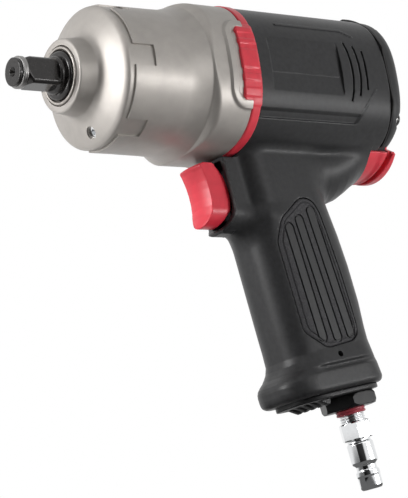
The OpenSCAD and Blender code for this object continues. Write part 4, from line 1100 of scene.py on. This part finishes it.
def deflector(x, y, z):
    """Plate under the base, with the finned hood over its mouth."""
    s, t = in_handle(x, z)
    plate = shared(rounded_box(t + 2.4, y, 25.1, 17.7, 14), between(s, base_end + 0.1, plate_end), 0.7)
    collar = meet(rounded_box(t - mouth_t, y, 10.2, 13.2, 7.7), between(s, 149.6, 154))
    hood = shared(outline(s, t, hood_side), abs(y) - hood_half, 0.7)
    body = both(join(plate, collar), hood, 0.5)
    from_fin = abs(np.mod(y + fin_pitch / 2, fin_pitch) - fin_pitch / 2)
    gap = meet(fin_half - from_fin, abs(y) - 10, 149 - s, between(t, -23.4, -9.2))
    body = less(body, gap, 0.3)
    return meet(body, inlet_hole_r - from_axis(t - inlet_t, y))


settle(moulded("exhaust_frame", deflector, (116, -18, -162), (182, 18, -140), 0.4),
       housing_black, "housing", "housing_plastic", "exhaust_deflector")


# ---------------- camera
camera_at = (-465.8, -708.3, -291.5)
picture_height = 498
focal_pixels = 2000
azimuth, elevation, roll = (radians(a) for a in (-38.2, -13.2, -8.9))
back = Vector((sin(azimuth) * cos(elevation), -cos(azimuth) * cos(elevation), sin(elevation)))
level = Vector((cos(azimuth), sin(azimuth), 0))
upright = back.cross(level)
right = level * cos(roll) + upright * sin(roll)
up = upright * cos(roll) - level * sin(roll)
lens = bpy.data.cameras.new("camera")
lens.sensor_width = 36
lens.lens = focal_pixels * lens.sensor_width / picture_height
lens.clip_start = 0.01
lens.clip_end = 50
camera = linked("camera", lens)
camera.matrix_world = Matrix([(*axes, place * MM) for *axes, place in zip(right, up, back, camera_at)]
                             + [(0, 0, 0, 1)])
scene.camera = camera


# ---------------- floor, background and lights
# mirrors see white all round, but for a dim room behind the camera; room_half and room_edge are in degrees
room_turn, room_rise = radians(-47.5), radians(2)
room_half, room_edge, room_tone = 30, 5, 0.04
room_at = (sin(room_turn) * cos(room_rise), -cos(room_turn) * cos(room_rise), sin(room_rise))
floor_half = 4  # metres
floor_z = cad_box[0][2]
floor_middle = (0.14, 0, floor_z)
floor_glow = 0.72
lit_strength = 0.03
plain_white = (1, 1, 1, 1)


def dim_room(tree, heading):
    """White, but for the directions of the dim room."""
    facing = add(tree, "ShaderNodeVectorMath", {0: heading, 1: room_at}, operation="DOT_PRODUCT")
    room = add(tree, "ShaderNodeMapRange", {
        "Value": facing, "From Min": cos(radians(room_half + room_edge)),
        "From Max": cos(radians(room_half - room_edge)), "To Min": 1.0, "To Max": room_tone},
        interpolation_type="SMOOTHSTEP")
    return room


def mirrored(tree, rays):
    """1 for rays that come from a glossy or clear surface."""
    return calc(tree, "MAXIMUM", rays["Is Glossy Ray"], rays["Is Transmission Ray"])


floor_mesh = bpy.data.meshes.new("floor")
floor_mesh.from_pydata([(x * floor_half, y * floor_half, floor_z) for x, y in ((-1, -1), (1, -1), (1, 1), (-1, 1))],
                       [], [(0, 1, 2, 3)])
floor = linked("floor", floor_mesh)
pale = bpy.data.materials.new("pale floor")
pale.use_nodes = True
tree = pale.node_tree
rays = add(tree, "ShaderNodeLightPath").outputs
paper = tree.nodes["Principled BSDF"]
fill(tree, paper, {"Base Color": (0.86, 0.86, 0.86, 1), "Roughness": 0.9, "Specular IOR Level": 0.1})
glow = add(tree, "ShaderNodeEmission", {"Color": rays["Is Camera Ray"], "Strength": floor_glow})
above = add(tree, "ShaderNodeAddShader", {0: paper, 1: glow})
# the floor is clear to a camera below it
underside = add(tree, "ShaderNodeNewGeometry").outputs["Backfacing"]
below = add(tree, "ShaderNodeBsdfTransparent")
from_below = calc(tree, "MULTIPLY", rays["Is Camera Ray"], underside)
seen = add(tree, "ShaderNodeMixShader", {"Fac": from_below, 1: above, 2: below})
# mirrors see a painted glow in place of the lit floor: a painted shadow, dark near the object and white further
# away, with painted shade towards the dim room
where = add(tree, "ShaderNodeTexCoord").outputs["Object"]
away = add(tree, "ShaderNodeVectorMath", {0: where, 1: floor_middle}, operation="SUBTRACT")
distance = add(tree, "ShaderNodeVectorMath", {0: away}, operation="LENGTH")
heading = add(tree, "ShaderNodeVectorMath", {0: away}, operation="NORMALIZE")
# painted shadow of the object on the floor, seen only in mirrors
painted_shadow = add(tree, "ShaderNodeMapRange", {"Value": distance, "From Min": 0.05, "From Max": 0.22, "To Min": 0.15},
            interpolation_type="SMOOTHSTEP")
# the floor glows for mirrors though it is no lamp, with painted shade towards the dim room
floor_glow_with_painted_shadow = add(tree, "ShaderNodeEmission", {"Strength": calc(tree, "MULTIPLY", painted_shadow, dim_room(tree, heading))})
surface = add(tree, "ShaderNodeMixShader", {"Fac": mirrored(tree, rays), 1: seen, 2: floor_glow_with_painted_shadow})
fill(tree, tree.nodes["Material Output"], {"Surface": surface})
floor_mesh.materials.append(pale)

world = bpy.data.worlds.new("studio")
scene.world = world
world.use_nodes = True
tree = world.node_tree
tree.nodes.clear()
rays = add(tree, "ShaderNodeLightPath").outputs
heading = add(tree, "ShaderNodeTexCoord").outputs["Generated"]
backdrop = calc(tree, "MAXIMUM", dim_room(tree, heading), rays["Is Camera Ray"])
soft = add(tree, "ShaderNodeBackground", {"Color": plain_white, "Strength": lit_strength})
white = add(tree, "ShaderNodeBackground", {"Color": plain_white, "Strength": backdrop})
direct = calc(tree, "MAXIMUM", rays["Is Camera Ray"], mirrored(tree, rays))
background = add(tree, "ShaderNodeMixShader", {"Fac": direct, 1: soft, 2: white})
add(tree, "ShaderNodeOutputWorld", {"Surface": background})


def softbox(name, at, towards, size, power):
    """Soft rectangular lamp, in millimetres and watts."""
    lamp = bpy.data.lights.new(name, "AREA")
    lamp.shape = "RECTANGLE"
    lamp.size, lamp.size_y = size[0] * MM, size[1] * MM
    lamp.energy = power
    obj = linked(name, lamp)
    obj.location = Vector(at) * MM
    obj.rotation_euler = (Vector(towards) * MM - obj.location).to_track_quat("-Z", "Y").to_euler()


softbox("left softbox", (-650, 230, 150), (60, 0, -10), (300, 420), 5.8)
softbox("high softbox", (-430, -560, 400), (110, 0, -40), (420, 320), 0.4)
softbox("side softbox", (130, -800, 60), (110, 0, -40), (420, 300), 0.9)
softbox("low side softbox", (480, -590, -150), (90, 0, -10), (260, 90), 1.1)
softbox("low right softbox", (560, -420, -150), (140, 0, -10), (300, 80), 0.55)

scene.view_settings.view_transform = "Standard"
